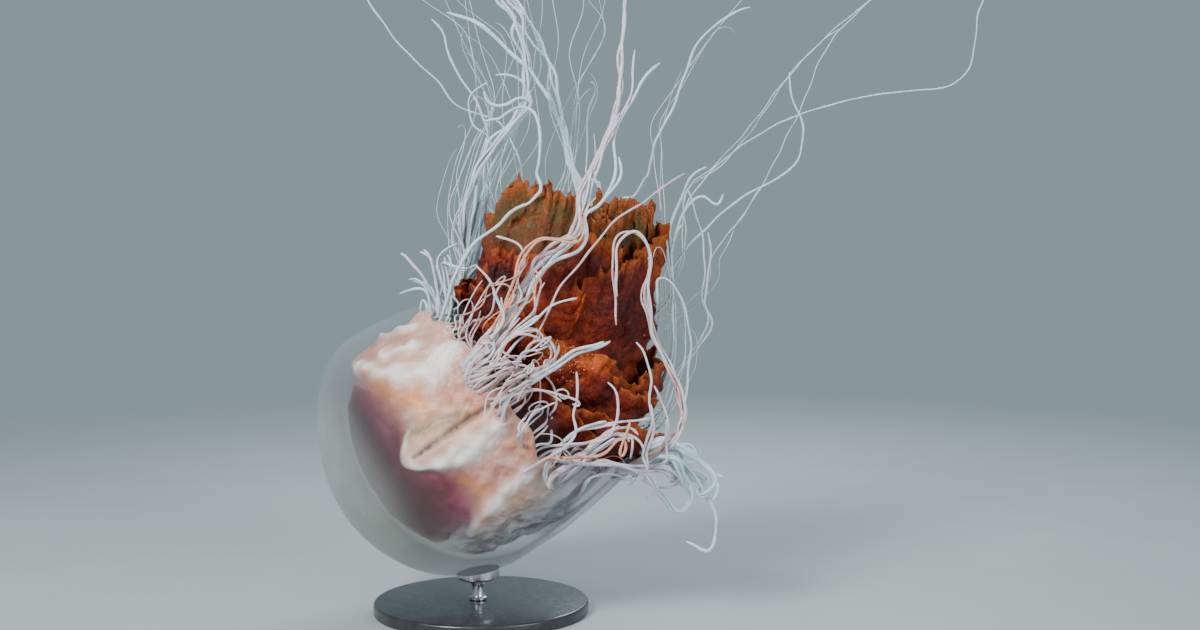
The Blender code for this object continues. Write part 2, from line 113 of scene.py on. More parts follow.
def quads(*corners):
    return np.stack(corners, -1).reshape(-1, 4)


def doubled(values, shape):
    """Values over a grid of this shape, for the points of both sides of a closed sheet."""
    return {name: np.tile(np.broadcast_to(value, shape).reshape(-1), 2) for name, value in values.items()}


def placed(name, data):
    """A new object in the scene."""
    made = bpy.data.objects.new(name, data)
    bpy.context.scene.collection.objects.link(made)
    return made


def waves(x, y, random, count, low, high):
    """A smooth field between about -1 and 1 over two coordinates: a sum of seeded sine waves."""
    total = np.zeros(np.broadcast(x, y).shape)
    for _ in range(count):
        pace = low * (high / low) ** random.random()
        turn, start = random.uniform(0, 2 * math.pi, 2)
        total = total + np.sin(pace * (math.cos(turn) * x + math.sin(turn) * y) + start)
    return total / math.sqrt(count)


def waves3(points, random, count, short, long):
    """A smooth field between about -1 and 1 through space, of waves this many metres long."""
    total = 0.0
    for _ in range(count):
        pace = 2 * math.pi / (short * (long / short) ** random.random())
        way = unit(random.normal(size=3))
        total = total + np.sin(pace * (points @ way) + random.uniform(0, 2 * math.pi))
    return total / math.sqrt(count)


def stained(points, spots):
    """How much of these spots, each a centre, a radius and a strength, is at these points."""
    total = np.zeros(points.shape[:-1])
    for centre, radius, strength in spots:
        away = np.linalg.norm(points - np.array(centre), axis=-1) / radius
        total = total + strength * np.exp(-away**2)
    return total


def stroked(points, strokes):
    """How much of these strokes is at these points.  A stroke runs over angles in degrees, places and radii
    in millimetres along the bell's wall."""
    total = np.zeros(points.shape[:-1])
    for stroke in strokes:
        share = np.linspace(0, len(stroke) - 1, 10 * len(stroke) - 9)
        angle, place, radius = (np.interp(share, np.arange(len(stroke)), row) for row in np.array(stroke).T)
        for middle, reach in zip(wall(np.radians(angle), place, 0.004), radius / 1000):
            away = np.linalg.norm(points - middle, axis=-1) / reach
            total = np.maximum(total, np.exp(-away**2))
    return total


def in_bell(radius, place, angle):
    """The point at this radius from the bell's axis, this place along it and this angle round it."""
    radius, place, angle = np.broadcast_arrays(radius, place, angle)
    swell = np.exp(-(((place - SWELL_PLACE) / SWELL_SPAN) ** 2)) * np.clip(np.cos(angle), 0, 1) ** 2
    radius = radius + SWELL * swell * smooth(radius / (0.7 * BELL_RADIUS))
    out = np.cos(angle)[..., None] * CROWN + np.sin(angle)[..., None] * NEAR
    return BELL_CENTRE + place[..., None] * TRAIL + radius[..., None] * out


class Sheaf:
    """Grids of points gathered into one mesh, with a UV map in which every grid has its own patch."""

    def __init__(self):
        self.points, self.faces, self.uvs, self.values, self.count = [], [], [], {}, 0

    def put(self, points, faces, uvs, values):
        self.points.append(points)
        self.faces.append(faces + self.count)
        self.uvs.append(uvs)
        for name, value in values.items():
            self.values.setdefault(name, []).append(np.broadcast_to(value, len(points)))
        self.count += len(points)

    def slab(self, outer, inner, patch, **values):
        """A closed sheet between two grids.  Values are over the grid; the patch is its UV rectangle."""
        rows, columns = outer.shape[:2]
        index = np.arange(rows * columns).reshape(rows, columns)
        below = index + rows * columns
        top = quads(index[:-1, :-1], index[1:, :-1], index[1:, 1:], index[:-1, 1:])
        low = quads(below[:-1, :-1], below[:-1, 1:], below[1:, 1:], below[1:, :-1])
        loop = np.concatenate([index[:, 0], index[-1, 1:], index[-2::-1, -1], index[0, -2:0:-1]])
        after = np.roll(loop, -1)
        rim = np.stack([loop, loop + rows * columns, after + rows * columns, after], -1)
        left, bottom, wide, high = patch
        shares = np.linspace(0.02, 0.98, rows), np.linspace(0.02, 0.98, columns)
        down, across = np.meshgrid(*shares, indexing="ij")
        one = np.stack([left + wide / 2 * across, bottom + high * down], -1).reshape(-1, 2)
        two = one + [wide / 2, 0]
        both = np.concatenate([one, two])
        rim_uv = both[np.stack([loop, loop, after, after], -1)]
        uvs = np.concatenate([both[top], both[low], rim_uv])
        points = np.concatenate([outer.reshape(-1, 3), inner.reshape(-1, 3)])
        self.put(points, np.concatenate([top, low, rim]), uvs, doubled(values, (rows, columns)))

    def tube(self, rings, ends, patch, **values):
        """A closed tube of rings with a point at each end.  Values are one for each ring."""
        rows, around = rings.shape[:2]
        index = np.arange(rows * around).reshape(rows, around)
        after = np.roll(index, -1, axis=1)
        sides = quads(index[:-1], after[:-1], after[1:], index[1:])
        start, stop = rows * around, rows * around + 1
        first = np.stack([np.full(around, start), after[0], index[0], index[0]], -1)
        last = np.stack([np.full(around, stop), index[-1], after[-1], after[-1]], -1)
        left, bottom, wide, high = patch
        down = bottom + high * np.linspace(0.01, 0.99, rows)[:, None]
        turn = left + wide * np.linspace(0.05, 0.95, around + 1)[None, :]
        uv = np.stack(np.broadcast_arrays(turn, down), -1)
        side_uv = np.stack([uv[:-1, :-1], uv[:-1, 1:], uv[1:, 1:], uv[1:, :-1]], 2).reshape(-1, 4, 2)
        first_uv = np.stack([uv[0, :-1], uv[0, 1:], uv[0, :-1], uv[0, :-1]], 1)
        last_uv = np.stack([uv[-1, 1:], uv[-1, :-1], uv[-1, 1:], uv[-1, 1:]], 1)
        points = np.concatenate([rings.reshape(-1, 3), ends])
        flat = {}
        for name, value in values.items():
            value = np.broadcast_to(value, rows)
            flat[name] = np.concatenate([np.repeat(value, around), value[:1], value[-1:]])
        uvs = np.concatenate([side_uv, first_uv, last_uv])
        self.put(points, np.concatenate([sides, first, last]), uvs, flat)

    def piece(self, name, finish):
        points = np.concatenate(self.points).astype(np.float32)
        faces = np.concatenate(self.faces)
        uvs = np.concatenate(self.uvs)
        mesh = bpy.data.meshes.new(name)
        triangle = faces[:, 2] == faces[:, 3]
        sizes = np.where(triangle, 3, 4)
        keep = np.ones(faces.shape, bool)
        keep[triangle, 3] = False
        corners = faces[keep]
        mesh.vertices.add(len(points))
        mesh.vertices.foreach_set("co", points.ravel())
        mesh.loops.add(len(corners))
        mesh.loops.foreach_set("vertex_index", corners.astype(np.int32))
        mesh.polygons.add(len(faces))
        starts = np.concatenate([[0], np.cumsum(sizes)[:-1]])
        mesh.polygons.foreach_set("loop_start", starts.astype(np.int32))
        mesh.update(calc_edges=True)
        layer = mesh.uv_layers.new(name="OFBake")
        layer.data.foreach_set("uv", uvs[keep].astype(np.float32).ravel())
        for key, value in self.values.items():
            attribute = mesh.attributes.new(key, "FLOAT", "POINT")
            attribute.data.foreach_set("value", np.concatenate(value).astype(np.float32))
        mesh.validate()
        mesh.shade_smooth()
        mesh.materials.append(finish)
        return placed(name, mesh)


# ---- materials --------------------------------------------------------------------------------
class Finish:
    """A Principled material with short calls for its nodes."""

    def __init__(self, name, **settings):
        self.material = bpy.data.materials.new(name)
        self.material.use_nodes = True
        self.tree = self.material.node_tree
        self.shader = self.tree.nodes["Principled BSDF"]
        self.output = self.tree.nodes["Material Output"]
        for key, value in settings.items():
            self.shader.inputs[key.replace("_", " ")].default_value = value
        self.place = self.node("ShaderNodeTexCoord").outputs["Object"]

    def node(self, kind, inputs=(), **settings):
        made = self.tree.nodes.new(kind)
        for key, value in settings.items():
            setattr(made, key, value)
        for key, value in dict(inputs).items():
            if isinstance(value, bpy.types.NodeSocket):
                self.tree.links.new(value, made.inputs[key])
            else:
                made.inputs[key].default_value = value
        return made

    def noise(self, scale, detail=4.0, rough=0.55, warp=0.0, stretch=None):
        place = self.place
        if stretch:
            place = self.node("ShaderNodeMapping", {"Vector": place, "Scale": stretch}).outputs["Vector"]
        inputs = {"Vector": place, "Scale": scale, "Detail": detail, "Roughness": rough, "Distortion": warp}
        return self.node("ShaderNodeTexNoise", inputs).outputs["Fac"]

    def cells(self, scale):
        inputs = {"Vector": self.place, "Scale": scale}
        return self.node("ShaderNodeTexVoronoi", inputs).outputs["Distance"]

    def value(self, name):
        return self.node("ShaderNodeAttribute", attribute_name=name).outputs["Fac"]

    def math(self, operation, a, b=0.0, clamp=False):
        return self.node("ShaderNodeMath", {0: a, 1: b}, operation=operation, use_clamp=clamp).outputs[0]

    def times(self, a, b, clamp=False):
        return self.math("MULTIPLY", a, b, clamp)

    def plus(self, a, b, clamp=False):
        return self.math("ADD", a, b, clamp)

    def ramp(self, factor, stops, smooth_steps=True):
        made = self.node("ShaderNodeValToRGB", {"Fac": factor})
        made.color_ramp.interpolation = "EASE" if smooth_steps else "LINEAR"
        elements = made.color_ramp.elements
        while len(elements) < len(stops):
            elements.new(0.5)
        for element, (place, colour) in zip(elements, stops):
            element.position = place
            level = (colour,) * 3 if isinstance(colour, float) else colour
            element.color = (*level, 1.0)
        return made.outputs["Color"]

    def mix(self, factor, a, b):
        made = self.node("ShaderNodeMix", data_type="RGBA")
        for socket, value in ((made.inputs[0], factor), (made.inputs[6], a), (made.inputs[7], b)):
            if isinstance(value, bpy.types.NodeSocket):
                self.tree.links.new(value, socket)
            elif isinstance(value, tuple):
                socket.default_value = (*value, 1.0)
            else:
                socket.default_value = value
        return made.outputs[2]

    def set(self, socket, value):
        self.tree.links.new(value, self.shader.inputs[socket])

    def flesh(self, red, green, blue):
        """How far each colour of light spreads inside, in metres."""
        self.shader.inputs["Subsurface Radius"].default_value = (red, green, blue)

    def fill(self, kind, inputs):
        """Fills the piece's inside with a volume shader."""
        inside = self.node(kind, inputs)
        self.tree.links.new(inside.outputs["Volume"], self.output.inputs["Volume"])

    def bump(self, height, distance, strength=1.0, before=None):
        inputs = {"Height": height, "Distance": distance, "Strength": strength}
        if before is not None:
            inputs["Normal"] = before
        made = self.node("ShaderNodeBump", inputs).outputs["Normal"]
        self.set("Normal", made)
        return made


def jelly_finish():
    f = Finish("clear_jelly", Roughness=0.28, IOR=1.34, Specular_IOR_Level=0.4)
    # Painted light: by height, the jelly is painted bluer towards its top and duller and yellower towards its
    # bottom.
    heights = [(0.10, (0.42, 0.43, 0.36)), (0.45, (0.50, 0.54, 0.54)), (0.95, (0.42, 0.58, 0.66))]
    low = f.ramp(f.value("lift"), heights)
    low = f.mix(f.ramp(f.noise(9.0, 4.0), [(0.40, 0.0), (0.65, 0.5)]), low, (0.64, 0.66, 0.66))
    specks = f.ramp(f.cells(420.0), [(0.0, 1.0), (0.10, 0.0)], False)
    pale = f.math("MAXIMUM", specks, f.times(f.value("streak"), 0.8))
    # Painted shade: under the lower lobes the jelly is painted dark grey and made more opaque, with smoky
    # streaks.
    low = f.mix(f.value("smoke"), low, (0.26, 0.27, 0.29))
    f.set("Base Color", f.mix(pale, low, (0.74, 0.77, 0.80)))
    cloud = f.ramp(f.noise(14.0, 5.0), [(0.3, 0.27), (0.75, 0.42)])
    veil = f.times(cloud, f.times(f.value("outer"), f.value("milk")))
    veil = f.plus(veil, f.times(f.value("streak"), 0.34))
    veil = f.plus(veil, f.times(f.value("smoke"), 0.22))
    alpha = f.plus(veil, f.times(specks, 0.30), True)
    f.set("Alpha", alpha)
    f.bump(f.noise(90.0, 3.0), 0.0006)
    haze = {"Color": (0.66, 0.70, 0.70, 1.0), "Density": 9.0, "Anisotropy": 0.2}
    f.fill("ShaderNodeVolumePrincipled", haze)
    return f.material


def muscle_finish():
    f = Finish("muscle_folds", Roughness=0.42, Specular_IOR_Level=0.45, Subsurface_Weight=0.45)
    f.flesh(0.012, 0.006, 0.004)
    f.shader.inputs["Subsurface Scale"].default_value = 0.6
    cloud = f.noise(20.0, 6.0, 0.66, 0.7)
    body = f.mix(f.ramp(cloud, [(0.36, 0.0), (0.62, 1.0)]), (0.78, 0.42, 0.24), (0.74, 0.47, 0.40))
    body = f.mix(f.ramp(f.noise(11.0, 3.0), [(0.44, 0.0), (0.62, 0.7)]), body, (0.52, 0.20, 0.15))
    # Painted highlight: the tops of the folds are painted nearly white.
    pale = f.times(f.value("ridge"), f.plus(f.times(cloud, 0.8), 0.60), True)
    body = f.mix(pale, body, (0.97, 0.94, 0.93))
    streaks = f.ramp(f.noise(70.0, 4.0, 0.6, 1.5), [(0.40, 0.0), (0.62, 1.0)])
    # Painted shade: the greenish places are painted shadow beside the creases and in their pocket.
    for name, colour, most in (("pink", (0.54, 0.17, 0.13), 0.80), ("olive", (0.26, 0.20, 0.09), 0.85)):
        spot = f.times(f.value(name), f.plus(f.times(streaks, 0.35), 0.65))
        body = f.mix(f.times(spot, most), body, colour)
    # Painted shade: the creases are painted dark brown.
    body = f.mix(f.times(f.value("crease"), 0.85), body, (0.16, 0.09, 0.075))
    body = f.mix(f.times(f.value("lip"), 0.90), body, (0.90, 0.89, 0.96))
    wine = f.ramp(f.noise(13.0, 5.0, 0.6), [(0.35, (0.17, 0.004, 0.028)), (0.65, (0.32, 0.045, 0.125))])
    body = f.mix(f.value("tissue"), wine, body)
    # Painted glow: yellow-brown places are brightened to amber, and darker brown on the membrane.
    glow = f.times(f.value("ochre"), f.plus(f.times(streaks, 0.20), 0.80))
    # Painted shade: on the lower side the tissue is painted as grey fibres.
    strands = f.noise(45.0, 5.0, 0.6, 1.0, stretch=(0.5, 1.0, 1.6))
    fibres = f.ramp(strands, [(0.40, (0.20, 0.20, 0.21)), (0.64, (0.66, 0.66, 0.68))])
    amber = f.mix(f.value("tissue"), (0.26, 0.070, 0.025), (0.80, 0.30, 0.07))
    body = f.mix(f.value("smoke"), f.mix(glow, body, amber), fibres)
    f.set("Base Color", body)
    f.set("Alpha", f.value("veil"))
    first = f.bump(f.noise(60.0, 5.0), 0.003)
    f.bump(f.noise(260.0, 3.0, stretch=(1.0, 1.0, 0.35)), 0.0007, before=first)
    return f.material


def stomach_finish():
    f = Finish("stomach", Roughness=0.45, Specular_IOR_Level=0.3)
    cloud = f.noise(20.0, 6.0, 0.6, 0.4)
    maroons = [(0.30, (0.11, 0.015, 0.035)), (0.5, (0.20, 0.035, 0.070)), (0.72, (0.32, 0.10, 0.13))]
    body = f.ramp(cloud, maroons)
    # Painted light: the half away from the front is painted a brighter maroon and made more opaque.
    behind = f.mix(cloud, (0.20, 0.012, 0.045), (0.46, 0.075, 0.15))
    f.set("Base Color", f.mix(f.value("far"), body, behind))
    film = f.ramp(f.noise(16.0, 4.0), [(0.3, 0.12), (0.7, 0.26)])
    f.set("Alpha", f.plus(film, f.times(f.value("far"), 0.62), True))
    f.bump(f.noise(70.0, 5.0), 0.003)
    f.fill("ShaderNodeVolumeAbsorption", {"Color": (0.62, 0.24, 0.34, 1.0), "Density": 24.0})
    return f.material


def arm_finish():
    f = Finish("oral_arms", Roughness=0.40, Specular_IOR_Level=0.22, Subsurface_Weight=0.15)
    f.flesh(0.010, 0.003, 0.0015)
    edge, lift, tone, thin = f.value("edge"), f.value("lift"), f.value("tone"), f.value("thin")
    deep, maroon, rust = (0.034, 0.003, 0.002), (0.095, 0.007, 0.004), (0.175, 0.017, 0.005)
    orange, pale, olive = (0.33, 0.040, 0.007), (0.50, 0.115, 0.022), (0.082, 0.060, 0.020)
    cloud = f.times(f.math("SUBTRACT", f.noise(34.0, 6.0, 0.70, 0.9), 0.54), 1.3)
    veins = f.times(f.math("SUBTRACT", f.noise(150.0, 6.0, 0.72, 1.6), 0.5), 1.3)
    shade = f.plus(f.plus(tone, cloud), veins, True)
    body = f.ramp(shade, [(0.02, deep), (0.22, maroon), (0.48, rust), (0.78, orange), (1.0, pale)])
    # Painted light: high, thin curtains are tinted greenish brown, as by blue light showing through them.
    high = f.ramp(lift, [(0.68, 0.0), (0.86, 1.0)])
    clear = f.times(high, f.ramp(thin, [(0.0, 0.15), (0.8, 1.0)]))
    clear = f.times(clear, f.ramp(f.noise(38.0, 5.0, 0.65, 1.2), [(0.38, 0.45), (0.56, 1.0)]))
    body = f.mix(clear, body, f.mix(f.noise(60.0, 4.0), olive, (0.125, 0.072, 0.022)))
    # Painted glow: the free edges are painted orange.
    rim = f.times(f.ramp(edge, [(0.95, 0.0), (1.0, 1.0)]), 0.7)
    body = f.mix(rim, body, (0.37, 0.078, 0.013))
    grains = f.ramp(f.cells(420.0), [(0.0, 1.0), (0.35, 0.0)])
    body = f.mix(f.times(grains, 0.22), body, (0.46, 0.12, 0.03))
    f.set("Base Color", f.mix(f.value("bead"), body, (0.85, 0.36, 0.20)))
    first = f.bump(f.noise(60.0, 4.0, 0.6, 1.2), 0.0040, 0.7)
    second = f.bump(f.noise(170.0, 6.0, 0.65, 0.8), 0.0028, before=first)
    f.bump(grains, 0.0007, before=second)
    return f.material


def tentacle_finish():
    f = Finish("tentacles", Roughness=0.38, Specular_IOR_Level=0.5, Subsurface_Weight=0.15)
    f.flesh(0.004, 0.003, 0.003)
    tint, along = f.value("tint"), f.value("along")
    cold, grey = (0.44, 0.66, 0.73), (0.52, 0.65, 0.70)
    mauve, pink = (0.57, 0.50, 0.57), (0.56, 0.29, 0.27)
    pale = f.ramp(tint, [(0.0, cold), (0.24, grey), (0.42, mauve), (0.72, pink)])
    warm = f.ramp(tint, [(0.80, 0.0), (0.86, 1.0)])
    body = f.mix(warm, pale, (0.62, 0.19, 0.06))
    spots = f.ramp(f.noise(260.0, 3.0), [(0.42, 0.0), (0.66, 1.0)])
    body = f.mix(f.times(spots, 0.28), body, (0.82, 0.80, 0.81))
    f.set("Base Color", f.mix(f.times(along, 0.20), body, (0.74, 0.82, 0.85)))
    f.bump(f.noise(700.0, 2.0), 0.0005)
    return f.material


# ---- the bell's wall --------------------------------------------------------------------------
def margin(angle):
    """How far the margin reaches past the equator: eight lobes, each with a notch in its middle."""
    cleft = np.abs(np.sin(LOBES / 2 * angle)) ** 8
    notch = np.abs(np.cos(LOBES / 2 * angle)) ** 14
    reach = LOBE_LENGTH - LOBE_SLANT * np.cos(angle) - LOBE_DIP * np.clip(np.sin(angle), 0, 1) ** 2
    return reach * (1 - CLEFT_DEPTH * cleft - NOTCH_DEPTH * notch)


def wall(angle, place, depth, from_outside=False):
    """A point of the bell's wall, as in the solids: place is 0 at the top, 1 at the rim, 2 at the margin."""
    angle, place, depth = np.broadcast_arrays(*(np.asarray(value, float) for value in (angle, place, depth)))
    dome = np.minimum(place, 1.0)
    lobe = np.clip(place - 1.0, 0.0, 1.0)
    polar = RIM_ANGLE * dome
    ridge = 1 + RIDGE_HEIGHT * np.cos(2 * LOBES * angle) * smooth(place - 0.3)
    radius = BELL_RADIUS * np.sin(polar) * ridge - LOBE_TUCK * lobe**2
    along = -BELL_RADIUS * (CROWN_FLATNESS + (1 - CROWN_FLATNESS) * dome) * np.cos(polar)
    rim_along = -BELL_RADIUS * math.cos(RIM_ANGLE)
    along = along + lobe * (margin(angle) - rim_along)
    thickness = RIM_THICKNESS + (TOP_THICKNESS - RIM_THICKNESS) * np.cos(dome * math.pi / 2) ** 1.4
    thickness = thickness + (EDGE_THICKNESS - RIM_THICKNESS) * lobe
    inwards = depth if from_outside else depth + thickness
    slope_radius, slope_along = np.sin(polar), -np.cos(polar)
    return in_bell(radius - inwards * slope_radius, along - inwards * slope_along, angle)


def fold_end(angle):
    """The place along the bell's wall where the muscle folds end."""
    return FOLD_END + FOLD_END_LEAN * np.cos(angle - math.radians(50))


def polar_slab(sheaf, outer, inner, reach, **values):
    """A closed band round the bell's axis.  Its UV map is two discs, so that no seam cuts a face."""
    rows, around = outer.shape[:2]
    index = np.arange(rows * around).reshape(rows, around)
    after = np.roll(index, -1, axis=1)
    below = rows * around
    top = quads(index[:-1], after[:-1], after[1:], index[1:])
    low = quads(index[:-1], index[1:], after[1:], after[:-1]) + below
    turn = full_turn(around)
    arms = np.stack([np.cos(turn), np.sin(turn)], -1)
    one = (0.25, 0.5) + 0.24 * np.asarray(reach)[:, None, None] * arms
    both = np.concatenate([one.reshape(-1, 2), one.reshape(-1, 2) + [0.5, 0.0]])
    ends, end_uvs = [], []
    for row in (0, rows - 1):
        here, there = index[row], after[row]
        ring = np.stack([here, there, there + below, here + below], -1)
        if not row:
            ring = ring[:, ::-1]
        ends.append(ring)
        end_uvs.append(both[np.where(ring >= below, ring - below, ring)])
    uvs = np.concatenate([both[top], both[low], *end_uvs])
    points = np.concatenate([outer.reshape(-1, 3), inner.reshape(-1, 3)])
    sheaf.put(points, np.concatenate([top, low, *ends]), uvs, doubled(values, (rows, around)))


BELL_AROUND, DOME_ROWS, LOBE_ROWS = 288, 72, 48


def make_bell(finish):
    angles = full_turn(BELL_AROUND)
    dome, skirt = np.linspace(0.0006, 1, DOME_ROWS), np.linspace(1, 2, LOBE_ROWS)[1:]
    places = np.concatenate([dome, skirt])[:, None]
    random = np.random.default_rng(SEEDS["bell"])
    lobe = np.clip(places - 1, 0, 1) + 0 * angles
    x, y = places * np.cos(angles), places * np.sin(angles)
    swell = 0.0009 * waves(x, y, random, 14, 3, 9) * smooth(places * 3)
    creases = 0.0016 * np.sin(3 * LOBES * angles + 2 * np.sin(5 * places + angles)) * lobe
    outer = wall(angles, places, 0.0006 - swell + creases, from_outside=True)
    inner = wall(angles, places, creases - 0.0004)
    middle = (outer + inner) / 2
    part = 0.35 + 0.65 * smooth((2 - places) / 0.03)[..., None]
    outer, inner = middle + (outer - middle) * part, middle + (inner - middle) * part
    sheaf = Sheaf()
    under = smooth((-np.cos(angles) - 0.35) / 0.5)
    near = smooth((np.sin(angles) + 0.1) / 0.7)
    milk = 1 - smooth((places - 0.36) / 0.28) * (0.66 + 0.30 * near)
    # The lower lobes' underside: smoky streaks, darkened as painted shade.
    lower = smooth(3 * lobe) * under
    fibres = waves(22 * angles, 2.5 * places, random, 14, 0.7, 2.2)
    streak = lower * smooth(0.1 + 1.1 * fibres) ** 2
    lift = (outer[..., 2] - (BELL_CENTRE[2] - BELL_RADIUS)) / (2 * BELL_RADIUS)
    polar_slab(sheaf, outer, inner, places[:, 0] / 2, milk=milk, lift=lift, streak=streak, smoke=lower)
    sheaf.values["outer"] = [np.repeat([1.0, 0.25], lobe.size)]
    piece = sheaf.piece("bell_skin", finish)
    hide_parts("bell_dome", *[f"bell_lobe_{lobe + 1}" for lobe in range(LOBES)])
    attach(piece, BODY)


# Round the bell, in degrees from its upper side: where the folds begin, how far they stand up, and over how
# much of the wall their edge fades.
FOLDS = [
    (2, 0.63, 1.0, 0.06),
    (20, 0.63, 0.9, 0.06),
    (32, 0.60, 0.8, 0.16),
    (44, 0.58, 0.7, 0.26),
    (58, 0.60, 0.6, 0.26),
    (68, 0.66, 0.5, 0.14),
    (76, 0.61, 0.9, 0.06),
    (84, 0.58, 1.0, 0.05),
    (90, 0.63, 0.8, 0.06),
    (96, 0.72, 0.5, 0.14),
    (110, 0.74, 0.3, 0.18),
    (120, 0.76, 0.5, 0.10),
    (128, 0.75, 0.9, 0.05),
    (138, 0.70, 1.0, 0.05),
    (150, 0.66, 0.6, 0.10),
    (160, 0.70, 0.3, 0.16),
    (170, 0.86, 0.0, 0.20),
    (188, 0.62, 1.0, 0.06),
    (207, 0.88, 0.0, 0.20),
    (229, 0.62, 1.0, 0.06),
    (250, 0.86, 0.0, 0.20),
    (271, 0.60, 1.0, 0.06),
    (294, 0.88, 0.0, 0.20),
    (316, 0.62, 1.0, 0.06),
    (339, 0.88, 0.0, 0.20),
]
# Strokes along the wall: pale ridges whitened as painted highlights, creases painted dark as painted shade,
# yellow-brown places with a painted glow, flesh pink places, and greenish places painted as shadow.
RIDGES = [
    [(-2, 0.67, 4), (14, 0.70, 6), (30, 0.75, 9), (44, 0.84, 13), (52, 1.00, 19), (50, 1.25, 19),
     (48, 1.50, 13)],
    [(25, 0.85, 7), (34, 1.00, 9)],
    [(2, 0.90, 5), (10, 1.02, 7), (16, 1.20, 8)],
    [(71, 0.74, 3), (76, 0.665, 4), (84, 0.635, 5), (90, 0.69, 6), (95, 0.84, 8), (93, 1.00, 13),
     (91, 1.30, 12)],
    [(138, 0.74, 4), (127, 0.82, 6), (121, 0.97, 9), (118, 1.30, 9)],
    [(188, 0.64, 6), (186, 0.90, 12), (184, 1.35, 16)],
    [(229, 0.64, 6), (232, 0.90, 12), (234, 1.35, 16)],
    [(271, 0.62, 6), (268, 0.90, 12), (264, 1.35, 16)],
    [(316, 0.64, 6), (320, 0.90, 12), (324, 1.35, 16)],
]
CREASES = [
    [(83, 0.69, 2), (82, 0.88, 3.5), (81, 1.11, 4.5), (82, 1.47, 3), (83, 1.60, 2)],
    [(205, 0.90, 5), (206, 1.40, 3)],
    [(250, 0.90, 5), (249, 1.40, 3)],
    [(294, 0.90, 5), (295, 1.40, 3)],
    [(340, 0.90, 5), (342, 1.40, 3)],
]
OCHRES = [
    [(22, 0.69, 6), (38, 0.71, 13), (52, 0.77, 16), (62, 0.86, 11)],
    [(104, 0.84, 8), (114, 0.90, 7)],
    [(134, 0.78, 5), (126, 0.86, 6)],
    [(200, 0.80, 12), (220, 0.80, 12)],
    [(285, 0.80, 12), (305, 0.80, 12)],
]
PINKS = [
    [(58, 0.84, 5), (66, 0.98, 8), (74, 1.14, 9), (76, 1.30, 9)],
    [(106, 0.86, 5), (104, 1.05, 7), (103, 1.35, 8)],
    [(112, 1.10, 9), (109, 1.45, 7)],
    [(98, 0.86, 8), (106, 0.98, 11), (114, 1.10, 13)],
    [(62, 1.58, 12), (100, 1.45, 8), (108, 1.60, 10)],
    [(150, 1.00, 20), (250, 1.20, 18)],
]
OLIVES = [[(71, 0.76, 12), (77, 0.88, 11), (79, 1.05, 6)], [(240, 0.85, 14), (262, 0.85, 12)]]


MUSCLE_AROUND, MUSCLE_ROWS = 480, 90


def make_muscle(finish):
    angles = full_turn(MUSCLE_AROUND)
    random = np.random.default_rng(SEEDS["muscle"])
    share = np.linspace(0, 1, MUSCLE_ROWS)[:, None]
    knots, starts, heights, fades = (np.tile(row, 3) for row in np.array(FOLDS).T)
    knots = knots + np.repeat([-360, 0, 360], len(FOLDS))
    width = 3 + 6 * smooth((0.1 - np.sin(angles)) / 0.4)
    near = np.degrees(angles)[:, None] + width[:, None] * np.linspace(-1, 1, 15)
    start = np.interp(near, knots, starts).mean(axis=1)
    start = start + 0.015 * waves(4 * np.cos(angles), 4 * np.sin(angles), random, 8, 1, 5)
    swirl = np.degrees(0.05 * np.sin(3 * angles + 4 * share))
    height = np.interp(near + swirl[..., None], knots, heights).mean(axis=2)
    fade = np.interp(near, knots, fades).mean(axis=1)
    end = fold_end(angles)
    near_side = smooth((np.sin(angles) + 0.10) / 0.30)
    first = MEMBRANE_START * near_side + (start - 0.02) * (1 - near_side)
    places = first + (end - first) * share
    sheet = wall(angles, places, 0.003)
    tissue = smooth((places - start) / fade)
    lip = np.exp(-(((places - start - 0.030) / 0.022) ** 2)) * np.clip(2 * height - 1, 0, 1)
    strayed = sheet + 0.003 * np.stack([waves3(sheet, random, 8, 0.02, 0.05) for _ in range(3)], -1)
    ridge, olive = stroked(strayed, RIDGES), stroked(strayed, OLIVES)
    crease = stroked(0.75 * sheet + 0.25 * strayed, CREASES)
    folds = waves3(sheet, random, 16, 0.016, 0.040)
    lumps = waves3(sheet, random, 24, 0.006, 0.013)
    rise = np.sin(math.pi * np.clip((places - start) / (end - start) * 1.1 + 0.02, 0, 1)) ** 0.7
    depth = 0.0008 + FOLD_GROOVE * (1 - height) * rise * 0.6
    depth = depth + (0.0080 * crease + 0.0040 * olive) * (0.2 + rise)
    depth = depth + MEMBRANE_DEPTH * (1 - tissue)
    depth = depth + 0.0060 * (1 - ridge) * rise + 0.0018 * (1 + folds) * smooth(share * 3)
    depth = depth + 0.0005 * (1 + lumps) * smooth(share * 2)
    thick = FOLD_THICKNESS * (0.15 + 0.20 * tissue + 0.65 * rise) + 0.0030 * lip
    outer = wall(angles, places, np.maximum(depth, 0.0006))
    inner = wall(angles, places, depth + thick + 0.002 * folds * rise)
    turned = np.degrees(angles)
    # The lower side, where the tissue is painted as shaded grey fibres and partly faded.
    smoke = smooth((turned - 118) / 28) * smooth((202 - turned) / 14)
    top = np.exp(-((((turned + 190) % 360 - 180) / 16) ** 2)) * smooth((1.25 - places) / 0.4)
    facing = near_side * smooth((np.sin(angles) + 0.20) / 0.7)
    membrane = 0.85 * facing * smooth((places - 0.49) / 0.36)
    veil = np.maximum(tissue * (1 - 0.45 * smoke) * (1 - 0.55 * top), membrane)
    sheaf = Sheaf()
    polar_slab(
        sheaf, outer, inner, np.linspace(0.3, 1.0, MUSCLE_ROWS), ridge=ridge * tissue, lip=lip, crease=crease,
        tissue=tissue, ochre=stroked(strayed, OCHRES), pink=stroked(strayed, PINKS), olive=olive,
        veil=veil, smoke=smoke + 0 * places,
    )
    piece = sheaf.piece("muscle_skin", finish)
    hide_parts("muscle_folds")
    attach(piece, BODY)


STOMACH_AROUND, STOMACH_ROWS = 144, 60
